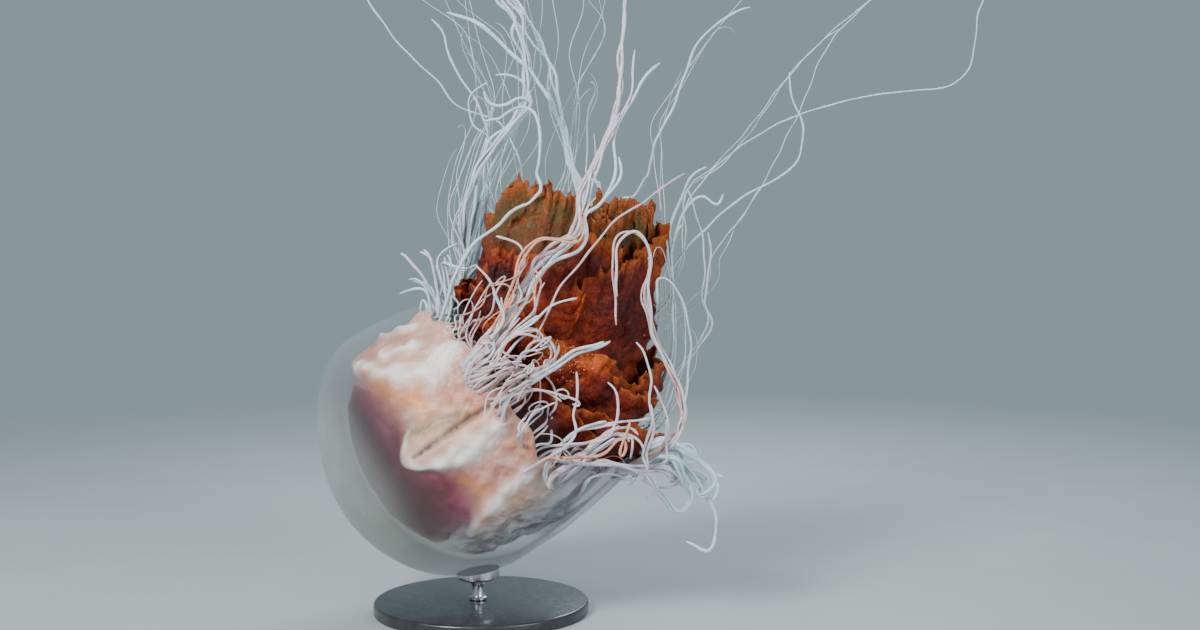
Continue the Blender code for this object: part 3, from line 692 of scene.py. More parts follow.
# The stomach's outline down to the mouth: radii and places along the bell's axis, as shares of its radius.
STOMACH_RADII = [0.030, 0.22, 0.40, 0.53, 0.595, 0.55, 0.40, 0.26, 0.19, 0.18]
STOMACH_PLACES = [-0.695, -0.675, -0.615, -0.530, -0.42, -0.30, -0.19, -0.08, 0.02, 0.10]


def make_stomach(finish):
    angles = full_turn(STOMACH_AROUND)
    knots = np.linspace(0, 1, len(STOMACH_RADII))
    share = np.linspace(0, 1, STOMACH_ROWS)
    radius = BELL_RADIUS * np.interp(share, knots, STOMACH_RADII)[:, None]
    place = BELL_RADIUS * np.interp(share, knots, STOMACH_PLACES)[:, None]
    random = np.random.default_rng(SEEDS["stomach"])
    pouch = 1 + 0.05 * np.cos(4 * angles) * smooth(share * 2)[:, None]
    x, y = share[:, None] * np.cos(angles), share[:, None] * np.sin(angles)
    lumps = waves(x, y, random, 26, 16, 50)
    radius = radius * pouch * (1 + 0.03 * lumps) - 0.0015
    outer = in_bell(radius, place + 0.0015 * lumps, angles)
    inner = in_bell(radius * 0.06, place + 0.002, angles)
    sheaf = Sheaf()
    polar_slab(sheaf, outer, inner, np.linspace(0.05, 1.0, STOMACH_ROWS))
    # far is 1 on the half away from the front, which is painted brighter as painted light.
    far = smooth((0.04 - np.sin(angles)) / 0.5) + 0 * share[:, None]
    sheaf.values["far"] = [np.concatenate([far.ravel(), 0 * far.ravel()])]
    piece = sheaf.piece("stomach_skin", finish)
    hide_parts("stomach")
    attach(piece, BODY)


# ---- the oral arms ----------------------------------------------------------------------------
ARM_START = BELL_CENTRE + (MOUTH_PLACE + 0.0005) * TRAIL
ARM_RISE = BELL_CENTRE + (MOUTH_PLACE + 0.0005 + ARM_REACH) * TRAIL


def arm_line(place):
    """The point at this share of the line that the oral arms hang round, and the line's direction there."""
    t = np.asarray(place, float)[..., None]
    a, b, c, d = ARM_START, ARM_RISE, ARM_SWEEP, ARM_END
    point = (1 - t) ** 3 * a + 3 * t * (1 - t) ** 2 * b + 3 * t**2 * (1 - t) * c + t**3 * d
    slope = 3 * (1 - t) ** 2 * (b - a) + 6 * t * (1 - t) * (c - b) + 3 * t**2 * (d - c)
    return point, unit(slope)


def arm_reach(place):
    return BELL_RADIUS * np.interp(place, ARM_PLACES, ARM_REACHES)


def sag(place, cosine):
    """How much further the arms reach here, where cosine is 1 on their upper side and -1 on their lower."""
    return 1 + ARM_SAG * smooth(1 - np.abs(place - SAG_PLACE) / SAG_SPAN) * np.clip(-cosine, 0, 1)


def round_arms(place, radius, angle):
    """A point at this radius and angle from the arms' line.  Angle 0 is its upper, left side."""
    point, along = arm_line(place)
    front = unit(NEAR - (along @ NEAR)[..., None] * along)
    side = np.cross(front, along)
    angle, radius = np.asarray(angle)[..., None], np.asarray(radius)[..., None]
    return point + radius * (np.cos(angle) * side + np.sin(angle) * front)


def sheet_normals(sheet):
    return unit(np.cross(np.gradient(sheet, axis=0), np.gradient(sheet, axis=1)))


# UV rectangles: left, bottom, width and height.
WHOLE_PATCH = (0.0, 0.0, 1.0, 1.0)
PAPILLAE_PATCH = (0.01, 0.96, 0.02, 0.02)
CORE_PATCH = (0.50, 0.96, 0.40, 0.03)
PETALS_ACROSS, PETAL_HEIGHT = 4, 0.47
PETAL_ROWS, PETAL_COLUMNS = 70, 82
CORE_START, CORE_END, CORE_ROWS, CORE_AROUND = 0.03, 0.72, 40, 64
PAPILLAE_COUNT = 75
# Places of the arms painted darker as painted shade in their hollows and paler as painted light: centre,
# radius, strength.
ARM_STAINS = [
    ((0.169, -0.095, 0.397), 0.052, -0.55),
    ((0.105, -0.095, 0.410), 0.034, -0.45),
    ((0.020, -0.060, 0.410), 0.040, -0.35),
    ((0.170, -0.100, 0.290), 0.030, -0.40),
    ((0.116, -0.095, 0.362), 0.050, 0.58),
    ((0.165, -0.080, 0.455), 0.026, 0.35),
    ((0.130, -0.110, 0.320), 0.030, 0.05),
]
# Where clusters of small papillae sit on the arms: centre, radius, strength.
PAPILLAE = [
    ((0.138, -0.105, 0.338), 0.015, 1.0),
    ((0.110, -0.110, 0.315), 0.019, 1.0),
    ((0.110, 0.130, 0.350), 0.020, 1.0),
    ((0.200, 0.020, 0.360), 0.018, 1.0),
    ((0.030, 0.080, 0.380), 0.018, 1.0),
]


def put_papillae(sheaf, sheet, normal, random):
    """Small round papillae on one side of a curtain, most of them in the clusters."""
    chance = stained(sheet, PAPILLAE).ravel()
    count = int(PAPILLAE_COUNT * min(1.0, chance.sum() / 25))
    chosen = random.choice(chance.size, count, replace=False, p=chance / chance.sum())
    turn = full_turn(6)
    for index in chosen:
        out = normal.reshape(-1, 3)[index]
        side = unit(np.cross(out, UP))
        other = np.cross(out, side)
        size = random.uniform(0.0005, 0.0011)
        base = sheet.reshape(-1, 3)[index] + out * size
        ring = size * (np.cos(turn)[:, None] * side + np.sin(turn)[:, None] * other)
        low, high = base + 0.7 * ring - 0.7 * size * out, base + 0.7 * ring + 0.7 * size * out
        rings = np.stack([low, base + ring, high])
        ends = np.stack([base - size * out, base + size * out])
        sheaf.tube(rings, ends, PAPILLAE_PATCH, edge=1.0, lift=0.3, tone=1.0, thin=0.0, bead=1.0)


def put_core(sheaf, random):
    """The arms' inner flesh, where their curtains meet, kept dark as painted shade."""
    places, angles = np.linspace(CORE_START, CORE_END, CORE_ROWS)[:, None], full_turn(CORE_AROUND)
    folds = waves(3 * np.cos(angles), 3 * np.sin(angles) + 9 * places, random, 14, 0.6, 2.5)
    radius = arm_reach(places) * (0.60 + 0.10 * folds) * (1 - 0.6 * smooth((places - 0.5) / 0.22))
    rings = round_arms(places + 0 * angles, radius, angles + 0 * places)
    ends = arm_line(np.array([CORE_START - 0.002, CORE_END + 0.002]))[0]
    sheaf.tube(rings, ends, CORE_PATCH, edge=0.0, lift=0.2, tone=0.12, thin=0.0, bead=0.0)


def petal(sheaf, patch, random, turn, width, base, top, foot, brim, bulge, ruffle, pleat, rough, tone):
    """One curtain of an oral arm.  It leaves the arms' line at base, bulges outwards and ends in a torn,
    ruffled free edge at top.  foot and brim are its shares of the arms' reach, turn and width are angles."""
    shares = np.linspace(0, 1, PETAL_ROWS), np.linspace(-1, 1, PETAL_COLUMNS)
    v, u = np.meshgrid(*shares, indexing="ij")
    lean = 0.25 * width * random.uniform(-1, 1)
    angle = turn + width * u * (0.7 + 0.3 * v) + lean * v**2 + 0.06 * waves(2 * u, 3 * v, random, 8, 1, 2)
    torn = 0.024 * waves(5 * u, 0 * u, random, 6, 1, 3) + 0.014 * waves(26 * u, 0 * u, random, 8, 1, 4)
    place = base + (top - base) * (v * (1 - (0.16 - 0.12 * pleat) * np.abs(u) ** 3) + torn * v**3)
    share = foot + (brim - foot) * v**0.9 + bulge * np.sin(math.pi * v**0.8)
    share = share * (1 - 0.12 * u**2) + 0.05 * waves(2 * u, 2 * v, random, 8, 0.8, 2.2) * smooth(3 * v)
    passing = smooth(1 - np.abs(place - MARGIN_PASS) / MARGIN_PASS)
    squeeze = (1 - MARGIN_SQUEEZE * passing * np.clip(np.cos(angle), 0, 1)) * sag(place, np.cos(angle))
    reach = arm_reach(np.clip(place, 0, 1.02)) * np.clip(share, 0.05, 1.25) * squeeze
    sheet = round_arms(place, reach, angle)
    broad = waves3(sheet, random, 14, 0.050, 0.110)
    folds = waves3(sheet, random, 20, 0.018, 0.040)
    lumps = waves3(sheet, random, 26, 0.005, 0.011)
    free = smooth((v - 0.45) / 0.55)
    edge = np.maximum(v, smooth((np.abs(u) - 0.9) / 0.1) * v)
    run = width * 12 * (u + 0.10 * waves(4 * u, 2 * v, random, 6, 0.7, 1.6))
    small = np.sin(2.7 * run + 3 * waves(2 * u, v, random, 4, 1, 2))
    frill = free * (np.sin(run + 2 * v) + 0.45 * free * small)
    ribs = np.abs(np.sin(width * 17 * u + 1.2 * waves(2 * u, v, random, 6, 0.6, 1.5)))
    ribs = pleat * ribs * smooth(2 * v)
    crimp = np.sin(30 * width * (u + 0.05 * waves(6 * u, 2 * v, random, 8, 0.7, 2.0)))
    crimp = smooth((edge - 0.80) / 0.20) * crimp
    relief = (0.0050 * broad + 0.0030 * folds) * smooth(4 * v) * rough + 0.0030 * crimp * (1 - 0.6 * pleat)
    fringe = np.sin(80 * width * u + 3 * waves(5 * u, v, random, 6, 0.7, 2.0))
    fringe = smooth((edge - 0.86) / 0.14) * fringe
    relief = relief + 0.0009 * lumps + ruffle / 1000 * frill + 0.004 * ribs + 0.0016 * fringe
    sheet = sheet + sheet_normals(sheet) * relief[..., None]
    normal = sheet_normals(sheet)
    half = (0.0014 - 0.0009 * v)[..., None]
    # Painted shade and light: the tone is darker in the sheet's hollows and paler on its bulges, by its
    # relief, and darker or paler at the listed places.
    depth = np.clip(broad + 0.8 * folds, -1.5, 1.5) / 1.5
    shade = tone + 0.16 * depth + 0.07 * lumps + stained(sheet, ARM_STAINS)
    # Painted glow: the tone rises to orange towards the free edge.
    shade = shade + 0.35 * smooth((edge - 0.82) / 0.15)
    sheaf.slab(
        sheet + normal * half, sheet - normal * half, patch, edge=edge, lift=np.clip(place, 0, 1),
        tone=np.clip(shade, 0, 1), thin=pleat, bead=0.0,
    )
    outwards = np.sign(((sheet - arm_line(np.clip(place, 0, 1))[0]) * normal).sum(-1).mean())
    put_papillae(sheaf, sheet + outwards * normal * half, outwards * normal, random)


# Each row is one curtain: turn and width in degrees, base and top along the arms, the foot's, brim's and
# bulge's share of the arms' reach, the ruffles' depth in millimetres, how pleated and how crumpled it is, and
# its tone, from dark to pale.
CURTAINS = [
    [  # the arm on the upper, left side
        (34, 50, 0.02, 0.95, 0.25, 0.94, 0.06, 3.5, 1.0, 0.4, 0.50),
        (15, 44, 0.05, 0.84, 0.40, 0.88, 0.10, 4.0, 0.5, 0.9, 0.32),
        (62, 44, 0.04, 0.76, 0.40, 0.92, 0.02, 4.0, 0.0, 1.0, 0.42),
        (30, 46, 0.02, 0.56, 0.55, 0.92, 0.10, 4.0, 0.0, 1.0, 0.28),
        (75, 40, 0.02, 0.48, 0.55, 0.94, 0.08, 4.0, 0.0, 1.0, 0.42),
        (55, 46, 0.00, 0.34, 0.80, 1.12, 0.10, 4.0, 0.0, 1.0, 0.30),
        (28, 62, 0.10, 0.92, 0.08, 0.42, 0.02, 5.0, 0.8, 0.6, 0.42),
        (64, 56, 0.10, 0.80, 0.10, 0.60, 0.02, 5.0, 0.5, 0.8, 0.36),
    ],
    [  # front
        (120, 58, 0.02, 0.93, 0.25, 0.80, 0.06, 4.0, 0.6, 0.8, 0.45),
        (92, 40, 0.04, 0.83, 0.42, 0.92, -0.02, 4.0, 0.1, 0.9, 0.48),
        (132, 48, 0.05, 0.80, 0.52, 1.00, -0.12, 2.5, 0.0, 0.5, 0.36),
        (104, 44, 0.02, 0.50, 0.55, 0.96, 0.08, 5.0, 0.0, 1.2, 0.52),
        (150, 44, 0.02, 0.46, 0.60, 0.97, 0.04, 4.0, 0.0, 1.1, 0.36),
        (100, 54, 0.00, 0.32, 0.85, 1.20, 0.16, 4.0, 0.0, 1.0, 0.40),
        (125, 60, 0.10, 0.90, 0.08, 0.40, 0.02, 5.0, 0.7, 0.6, 0.40),
        (158, 56, 0.10, 0.82, 0.10, 0.62, 0.02, 5.0, 0.4, 0.8, 0.36),
    ],
    [  # lower, right
        (205, 56, 0.02, 0.95, 0.25, 0.82, 0.06, 4.0, 0.7, 0.8, 0.45),
        (176, 50, 0.05, 0.86, 0.42, 0.95, 0.00, 4.0, 0.2, 0.9, 0.42),
        (225, 46, 0.04, 0.76, 0.40, 0.93, 0.06, 5.0, 0.0, 1.0, 0.32),
        (186, 44, 0.02, 0.56, 0.60, 0.98, 0.04, 5.0, 0.0, 1.1, 0.45),
        (222, 44, 0.02, 0.45, 0.60, 0.97, 0.04, 4.0, 0.0, 1.0, 0.32),
        (165, 50, 0.00, 0.38, 0.80, 1.14, 0.12, 4.0, 0.0, 1.0, 0.34),
        (215, 62, 0.10, 0.93, 0.08, 0.44, 0.02, 5.0, 0.8, 0.6, 0.42),
        (242, 56, 0.10, 0.80, 0.10, 0.60, 0.02, 5.0, 0.4, 0.8, 0.36),
    ],
    [  # rear
        (300, 58, 0.02, 0.98, 0.25, 0.82, 0.06, 4.0, 0.9, 0.6, 0.50),
        (340, 48, 0.04, 0.90, 0.35, 0.86, 0.06, 4.0, 0.6, 0.8, 0.48),
        (265, 48, 0.05, 0.84, 0.42, 0.94, 0.02, 5.0, 0.1, 0.9, 0.38),
        (320, 48, 0.02, 0.60, 0.50, 0.93, 0.08, 5.0, 0.0, 1.0, 0.30),
        (275, 48, 0.02, 0.52, 0.60, 0.96, 0.06, 5.0, 0.0, 1.0, 0.38),
        (305, 50, 0.00, 0.34, 0.80, 1.10, 0.10, 4.0, 0.0, 1.0, 0.34),
        (305, 62, 0.10, 0.95, 0.08, 0.40, 0.02, 5.0, 0.8, 0.6, 0.42),
        (345, 56, 0.10, 0.84, 0.10, 0.58, 0.02, 5.0, 0.5, 0.8, 0.36),
    ],
]


def make_arms(finish):
    for arm, rows in enumerate(CURTAINS):
        sheaf = Sheaf()
        random = np.random.default_rng(SEEDS["arms"] + arm)
        for number, (turn, width, *rest) in enumerate(rows):
            row, column = divmod(number, PETALS_ACROSS)
            patch = (column / PETALS_ACROSS, row * PETAL_HEIGHT, 1 / PETALS_ACROSS, PETAL_HEIGHT)
            petal(sheaf, patch, random, math.radians(turn), math.radians(width), *rest)
        if arm == ARMS - 1:
            put_core(sheaf, random)
        piece = sheaf.piece(f"oral_arm_skin_{arm + 1}", finish)
        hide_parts(f"oral_arm_{arm + 1}")
        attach(piece, BODY)


# ---- the tentacles ----------------------------------------------------------------------------
ROOT_SPREAD = math.radians(21)
TENTACLE_SIDES = 7
TENTACLE_STEP = 0.0042
FINE_STEPS = 400
MOST_PINK, ORANGE = 0.78, 0.95
MARGIN_DEPTH, ROOT_CLEARANCE, ARM_CLEARANCE = 0.007, 0.03, 0.004
# One row for each tentacle with a shape of its own: bunch, how many run side by side, root radius, tint from
# cold white to pink, with 0.95 for orange, how far the others stray from the first, Y at the first and the
# last point, and the X's and the Z's of its points.  Lengths are in millimetres.
LEADS = [
    # upper left cluster
    (0, 1, 2.0, 0.20, 0, -10, -5, [-41, -53, -62, -74, -83, -84, -94], [366, 378, 398, 415, 423,
     431, 434]),
    (0, 3, 2.0, 0.20, 6, -12, -5, [-47, -51, -53, -62, -70], [366, 399, 419, 433, 436]),
    (0, 2, 1.9, 0.20, 5, -10, -15, [-39, -45, -51, -40, -25], [378, 407, 425, 438, 446]),
    (0, 2, 1.9, 0.25, 5, -15, -10, [-57, -61, -71, -84, -95], [358, 388, 395, 390, 386]),
    (0, 2, 2.0, 0.30, 5, -15, -15, [-61, -62, -68, -71], [354, 374, 383, 366]),
    (0, 2, 1.8, 0.20, 6, -30, -45, [-31, -37, -41, -20, 5], [379, 416, 426, 418, 415]),
    (0, 3, 1.7, 0.20, 8, 0, 10, [-52, -61, -67, -78, -85], [357, 381, 396, 406, 402]),
    (0, 5, 1.7, 0.25, 12, 0, 10, [-34, -32, -38, -43], [361, 390, 414, 429]),
    # out of the top, from the far side
    (7, 1, 1.3, 0.10, 0, 140, 135, [40, 37, 18, -4, -28, -43, -55, -76, -100, -122, -150, -186,
     -250], [509, 557, 594, 605, 612, 620, 640, 661, 683, 709, 750, 802, 883]),
    (7, 2, 1.9, 0.15, 8, 120, 120, [-3, -3, 2, -5, -12, -26, -44, -52, -67], [484, 545, 581, 607,
     622, 643, 672, 705, 724]),
    (7, 1, 2.9, 0.20, 0, 100, 90, [106, 111, 109, 97, 85, 71, 52, 24, 0, -19, -44], [475, 525, 549,
     585, 613, 639, 663, 688, 712, 721, 729]),
    (7, 3, 2.6, 0.20, 10, 90, 90, [-27, -20, -10, 9, 31, 50, 54, 53, 45, 36, 22, 1, -9], [473, 508,
     539, 565, 589, 610, 634, 665, 698, 726, 745, 787, 861]),
    (7, 3, 2.5, 0.15, 12, 130, 120, [113, 106, 101, 84, 80, 68, 53, 34, 18, 13], [484, 545, 586,
     644, 670, 694, 725, 748, 784, 862]),
    (7, 1, 2.5, 0.20, 0, 95, 85, [-16, -3, 18, 35, 54, 61, 59, 45, 31, 17, 5, 0], [473, 544, 568,
     589, 599, 610, 620, 626, 617, 613, 617, 631]),
    (7, 1, 1.7, 0.15, 0, 120, 115, [-8, -3, 7, 2, -17, -21, -19, 2], [472, 533, 566, 581, 590, 609,
     631, 645]),
    (7, 1, 2.0, 0.15, 0, 100, 95, [-14, 13, 42, 54, 53, 49, 35, 14], [473, 549, 592, 613, 627, 644,
     653, 653]),
    (7, 2, 1.5, 0.15, 8, 70, 70, [114, 118, 124, 133, 131], [473, 544, 584, 614, 632]),
    (6, 1, 2.1, 0.15, 0, 80, 60, [126, 169, 196, 223, 240, 252, 267, 287, 314, 328], [473, 514, 550,
     589, 627, 663, 695, 712, 730, 732]),
    # over the front of the arms, from the near side
    (0, 1, 2.6, 0.30, 0, -60, -10, [-28, -8, 18, 46, 80, 91, 83, 89, 91, 86, 75, 52, 29, 5], [401,
     441, 463, 481, 495, 509, 523, 537, 559, 580, 589, 597, 594, 591]),
    (1, 4, 2.5, 0.40, 9, -127, -50, [4, 29, 45, 56, 68, 81, 103, 120, 123, 140, 153, 164, 167, 169,
     171, 173, 176, 182], [327, 350, 369, 396, 415, 431, 448, 468, 503, 538, 569, 604, 628, 661,
     692, 727, 771, 841]),
    (1, 2, 2.4, 0.35, 5, -125, -60, [14, 33, 52, 68, 87, 119, 130, 124, 143, 158, 163, 158, 171,
     186, 201, 212], [315, 346, 373, 400, 427, 439, 462, 483, 490, 516, 545, 569, 595, 622, 646,
     655]),
    (1, 2, 1.7, 0.35, 6, -125, -60, [10, 37, 60, 87, 117, 136, 153, 169, 178, 182, 183], [323, 353,
     388, 427, 454, 516, 569, 595, 613, 639, 670]),
    (1, 3, 2.0, 0.35, 6, -125, -112, [6, 22, 37, 53, 49, 56, 58, 53, 39, 27], [335, 354, 373, 387,
     404, 420, 437, 449, 454, 457]),
    (1, 3, 2.0, 0.35, 7, -130, -120, [14, 30, 34, 30, 24, 16, 4], [331, 352, 370, 385, 400, 412,
     425]),
    (1, 1, 1.9, 0.95, 0, -127, -125, [22, 37, 47, 47, 38, 26], [354, 375, 385, 397, 406, 402]),
    (1, 2, 2.2, 0.95, 5, -128, -115, [30, 49, 57, 74, 97, 117, 128, 125], [358, 401, 430, 453, 453,
     448, 462, 483]),
    (1, 4, 1.7, 0.70, 9, -130, -125, [34, 69, 74, 78, 72], [335, 370, 389, 406, 420]),
    (1, 5, 1.2, 0.60, 9, -120, -105, [-2, -10, 2, 13, 19], [334, 345, 373, 396, 403]),
    (1, 3, 2.0, 0.40, 8, -138, -130, [19, 28, 38, 53, 74, 88, 103, 119], [305, 316, 337, 351, 364,
     380, 385, 388]),
    (1, 3, 1.8, 0.60, 7, -138, -132, [22, 34, 49, 65, 78, 84, 78], [312, 332, 347, 353, 351, 345,
     337]),
    (2, 3, 2.0, 0.50, 8, -145, -140, [38, 57, 75, 88, 91, 82, 69, 61, 59], [303, 305, 309, 317, 328,
     342, 340, 330, 320]),
    (1, 3, 1.7, 0.45, 7, -140, -135, [15, 23, 28, 21, 14, 20], [317, 326, 336, 342, 335, 328]),
    (2, 3, 1.9, 0.50, 7, -148, -145, [31, 38, 46, 58, 67, 81], [304, 308, 315, 316, 309, 307]),
    (2, 4, 2.3, 0.35, 5, -152, -140, [39, 50, 69, 92, 107, 121, 142, 154], [275, 283, 298, 308, 321,
     328, 333, 340]),
    (2, 2, 1.8, 0.65, 6, -155, -150, [43, 69, 88, 108, 123, 126, 119, 113], [280, 288, 285, 279,
     275, 270, 266, 271]),
    (2, 3, 1.7, 0.55, 7, -155, -150, [54, 58, 69, 81, 94], [237, 245, 258, 268, 273]),
    (2, 1, 1.6, 0.55, 0, -135, -75, [49, 80, 95, 132, 156, 185, 194, 217, 242], [308, 358, 394, 439,
     470, 491, 494, 514, 528]),
    (2, 6, 1.3, 0.60, 9, -160, -172, [62, 50, 38, 29, 23, 20], [304, 300, 293, 280, 264, 250]),
    (2, 5, 1.2, 0.62, 9, -160, -172, [64, 54, 44, 38, 36], [296, 290, 280, 266, 254]),
    (1, 5, 1.2, 0.58, 8, -158, -170, [44, 32, 20, 8, -4], [322, 318, 314, 312, 306]),
    (1, 4, 1.2, 0.60, 8, -160, -172, [50, 38, 26, 14, 4], [312, 307, 303, 300, 292]),
    # the lower front
    (3, 1, 1.9, 0.60, 0, -155, -150, [99, 114, 120, 112, 111, 118, 120, 118, 117], [219, 231, 241,
     256, 261, 268, 277, 298, 307]),
    (3, 3, 2.1, 0.40, 5, -112, -140, [83, 87, 105, 124, 141, 157, 177, 194, 199], [176, 206, 225,
     242, 243, 247, 250, 251, 254]),
    (3, 4, 2.3, 0.40, 6, -110, -130, [87, 90, 101, 117, 131, 148, 163, 177, 184, 186], [171, 183,
     192, 205, 216, 232, 240, 243, 238, 234]),
    (3, 4, 2.3, 0.40, 6, -112, -130, [105, 124, 141, 157, 174, 190, 193], [188, 205, 221, 233, 234,
     227, 215]),
    (3, 3, 1.9, 0.50, 6, -112, -135, [114, 134, 151, 165, 177, 183, 181, 177], [188, 211, 222, 228,
     229, 233, 222, 208]),
    (3, 1, 2.1, 0.95, 0, -150, -148, [141, 157, 168, 175, 172, 168, 164, 171, 177], [212, 224, 235,
     229, 218, 208, 212, 229, 252]),
    (3, 2, 1.8, 0.55, 6, -145, -142, [145, 157, 161, 165, 165, 160, 152], [231, 240, 249, 261, 276,
     289, 294]),
    (3, 2, 2.1, 0.50, 5, -120, -120, [196, 195, 196, 203, 205, 202, 200, 202, 200, 194, 184], [190,
     205, 212, 225, 239, 258, 277, 295, 307, 328, 337]),
    (4, 2, 1.9, 0.40, 5, -100, -105, [219, 219, 221, 221, 214, 205], [198, 210, 227, 249, 271,
     286]),
    (3, 3, 2.2, 0.40, 6, -125, -105, [134, 145, 163, 180, 192, 207], [199, 200, 198, 193, 188,
     189]),
    (4, 2, 2.2, 0.30, 5, -105, -95, [131, 141, 157, 169, 175, 182], [179, 183, 185, 182, 176, 175]),
    # the right side
    (4, 4, 2.0, 0.60, 7, -95, -118, [210, 223, 235, 236, 239, 234, 230, 205, 199, 195, 197, 202,
     193, 179, 165, 158, 159, 161, 163], [209, 222, 230, 244, 256, 274, 293, 339, 364, 384, 411,
     437, 454, 463, 460, 443, 412, 385, 357]),
    (4, 1, 2.1, 0.15, 0, -60, -40, [220, 232, 241, 244, 250, 240, 230, 216, 204, 205], [204, 222,
     243, 265, 335, 380, 400, 409, 400, 377]),
    (4, 4, 2.9, 0.16, 8, -65, -55, [208, 224, 232, 245, 262, 274, 279, 274, 264, 257, 256], [215,
     217, 211, 204, 192, 178, 168, 155, 147, 152, 159]),
    (4, 1, 2.7, 0.14, 0, -55, -45, [208, 223, 243, 253, 266, 276, 281, 280, 268, 260, 247], [197,
     199, 191, 176, 156, 140, 120, 93, 80, 89, 94]),
    (4, 3, 2.8, 0.18, 7, -65, -55, [201, 215, 232, 242, 250, 252, 241, 231, 223, 216, 205, 193],
     [196, 199, 196, 180, 161, 145, 131, 134, 148, 158, 163, 170]),
    (4, 3, 2.5, 0.20, 7, -75, -70, [193, 202, 211, 208, 202, 198], [181, 170, 163, 152, 149, 151]),
    (4, 9, 2.4, 0.18, 14, -50, -35, [205, 221, 236, 246, 260, 274, 270], [200, 196, 190, 180, 177,
     169, 153]),
    (4, 6, 2.1, 0.20, 10, -60, -50, [216, 228, 240, 232, 221, 213], [185, 174, 167, 161, 159, 160]),
    (5, 2, 2.2, 0.15, 7, 20, 5, [209, 198, 218, 232, 242, 252, 270, 277, 284, 291], [334, 376, 420,
     447, 476, 496, 504, 496, 488, 504]),
    (5, 2, 2.1, 0.15, 6, 20, 10, [209, 195, 212, 224, 235, 244, 255, 270], [334, 376, 429, 458, 482,
     508, 528, 537]),
    (5, 2, 1.7, 0.15, 7, 40, 40, [267, 269, 272, 269, 260, 250], [327, 375, 416, 452, 484, 512]),
    # far out on the right
    (6, 1, 1.8, 0.12, 0, 120, 110, [216, 234, 255, 286, 316, 353, 377, 395, 400, 395, 382, 382],
     [352, 407, 438, 469, 496, 517, 530, 551, 578, 605, 633, 657]),
    (6, 1, 1.2, 0.08, 0, 160, 150, [208, 248, 273, 310, 356, 403, 480, 542, 589, 613, 623, 624, 633,
     635, 624], [364, 474, 518, 555, 586, 608, 629, 637, 642, 660, 691, 727, 752, 788, 879]),
    (6, 2, 0.8, 0.08, 12, 170, 165, [265, 290, 327, 358, 389, 407, 425, 450, 491, 527, 541], [370,
     427, 474, 524, 587, 624, 673, 713, 753, 790, 845]),
    (6, 2, 0.8, 0.08, 12, 180, 170, [233, 255, 296, 340, 389, 439, 469, 492, 528], [379, 505, 537,
     587, 658, 711, 736, 754, 785]),
]
# One row for each spray: bunch, how many, the points that they pass after the margin, how far they spread in
# X, Y and Z, the shares of the way where they end, root radius, width and length of their curls, length of
# the hook at the tip, its turns, and tint from cold white to pink.  Lengths are in millimetres.
SPRAYS = [
    (0, 6, [(-16, 60, 399), (-36, 80, 473), (-20, 90, 547), (-5, 90, 609), (-17, 90, 671)],
     (30, 30, 30), 0.4, 1.0, 0.9, 4, 90, 40, 0.4, 0.15),
    (1, 9, [(12, -130, 360), (40, -138, 395), (54, -132, 430), (37, -122, 455)], (34, 14, 20), 0.4,
     1.0, 1.6, 9, 48, 50, 0.9, 0.55),
    (2, 11, [(60, -150, 312), (96, -158, 340), (80, -152, 368), (100, -146, 405)], (34, 12, 28),
     0.3, 0.9, 1.6, 10, 46, 50, 1.0, 0.55),
    (3, 6, [(95, -145, 223), (116, -155, 254), (126, -155, 271), (152, -150, 257)], (22, 10, 20),
     0.45, 1.0, 1.7, 8, 50, 45, 0.8, 0.55),
    (4, 16, [(191, -40, 192), (224, -30, 197), (250, -30, 181), (262, -30, 145)], (22, 70, 26), 0.4,
     1.0, 1.7, 10, 55, 60, 0.9, 0.25),
    (5, 5, [(217, 30, 217), (251, 30, 291), (253, 20, 365), (230, 0, 424), (244, 0, 481),
     (269, 20, 522)], (22, 30, 20), 0.4, 1.0, 1.3, 4, 90, 50, 0.7, 0.3),
    (5, 3, [(206, 70, 249), (234, 80, 373), (218, 70, 485), (233, 70, 596), (267, 70, 681),
     (325, 70, 733), (377, 70, 820)], (34, 30, 20), 0.5, 1.0, 0.9, 5, 140, 50, 0.3, 0.15),
    (5, 14, [(215, 100, 235), (235, 110, 262), (245, 100, 292)], (22, 30, 24), 0.5, 1.0, 1.7, 8, 55,
     45, 0.9, 0.35),
    (6, 14, [(120, 185, 255), (150, 195, 285), (170, 190, 325)], (30, 14, 30), 0.5, 1.0, 1.7, 8, 55,
     45, 0.9, 0.35),
    (7, 8, [(41, 160, 420), (14, 170, 510), (25, 170, 588), (41, 160, 677), (22, 160, 753),
     (17, 160, 891), (-10, 150, 1050)], (50, 30, 20), 0.45, 1.0, 0.8, 4, 170, 50, 0.2, 0.1),
    (7, 7, [(66, 160, 446), (92, 170, 536), (103, 160, 626), (131, 150, 701), (119, 150, 752),
     (125, 150, 902), (160, 140, 1080)], (55, 30, 20), 0.45, 1.0, 0.8, 4, 170, 50, 0.2, 0.1),
    (7, 8, [(-22, 130, 421), (-32, 140, 485), (-12, 140, 561), (4, 140, 625), (-21, 140, 700),
     (-59, 140, 750), (-71, 140, 863), (-100, 130, 1000)], (40, 24, 20), 0.35, 1.0, 0.8, 4, 170, 40,
     0.2, 0.1),
    (7, 14, [(20, 175, 345), (35, 185, 385), (30, 180, 425)], (34, 14, 26), 0.5, 1.0, 1.7, 8, 55,
     45, 0.9, 0.35),
]


def resampled(lines, rows, ends):
    """The lines up to these shares of their lengths, each as this many evenly spaced points."""
    made = []
    for line, end in zip(lines, ends):
        run = np.concatenate([[0], np.cumsum(np.linalg.norm(np.diff(line, axis=0), axis=1))])
        stops = np.linspace(0, run[-1] * end, rows)
        made.append(np.stack([np.interp(stops, run, row) for row in line.T], -1))
    return np.array(made)


def lengths(lines):
    return np.linalg.norm(np.diff(lines, axis=1), axis=2).sum(axis=1)


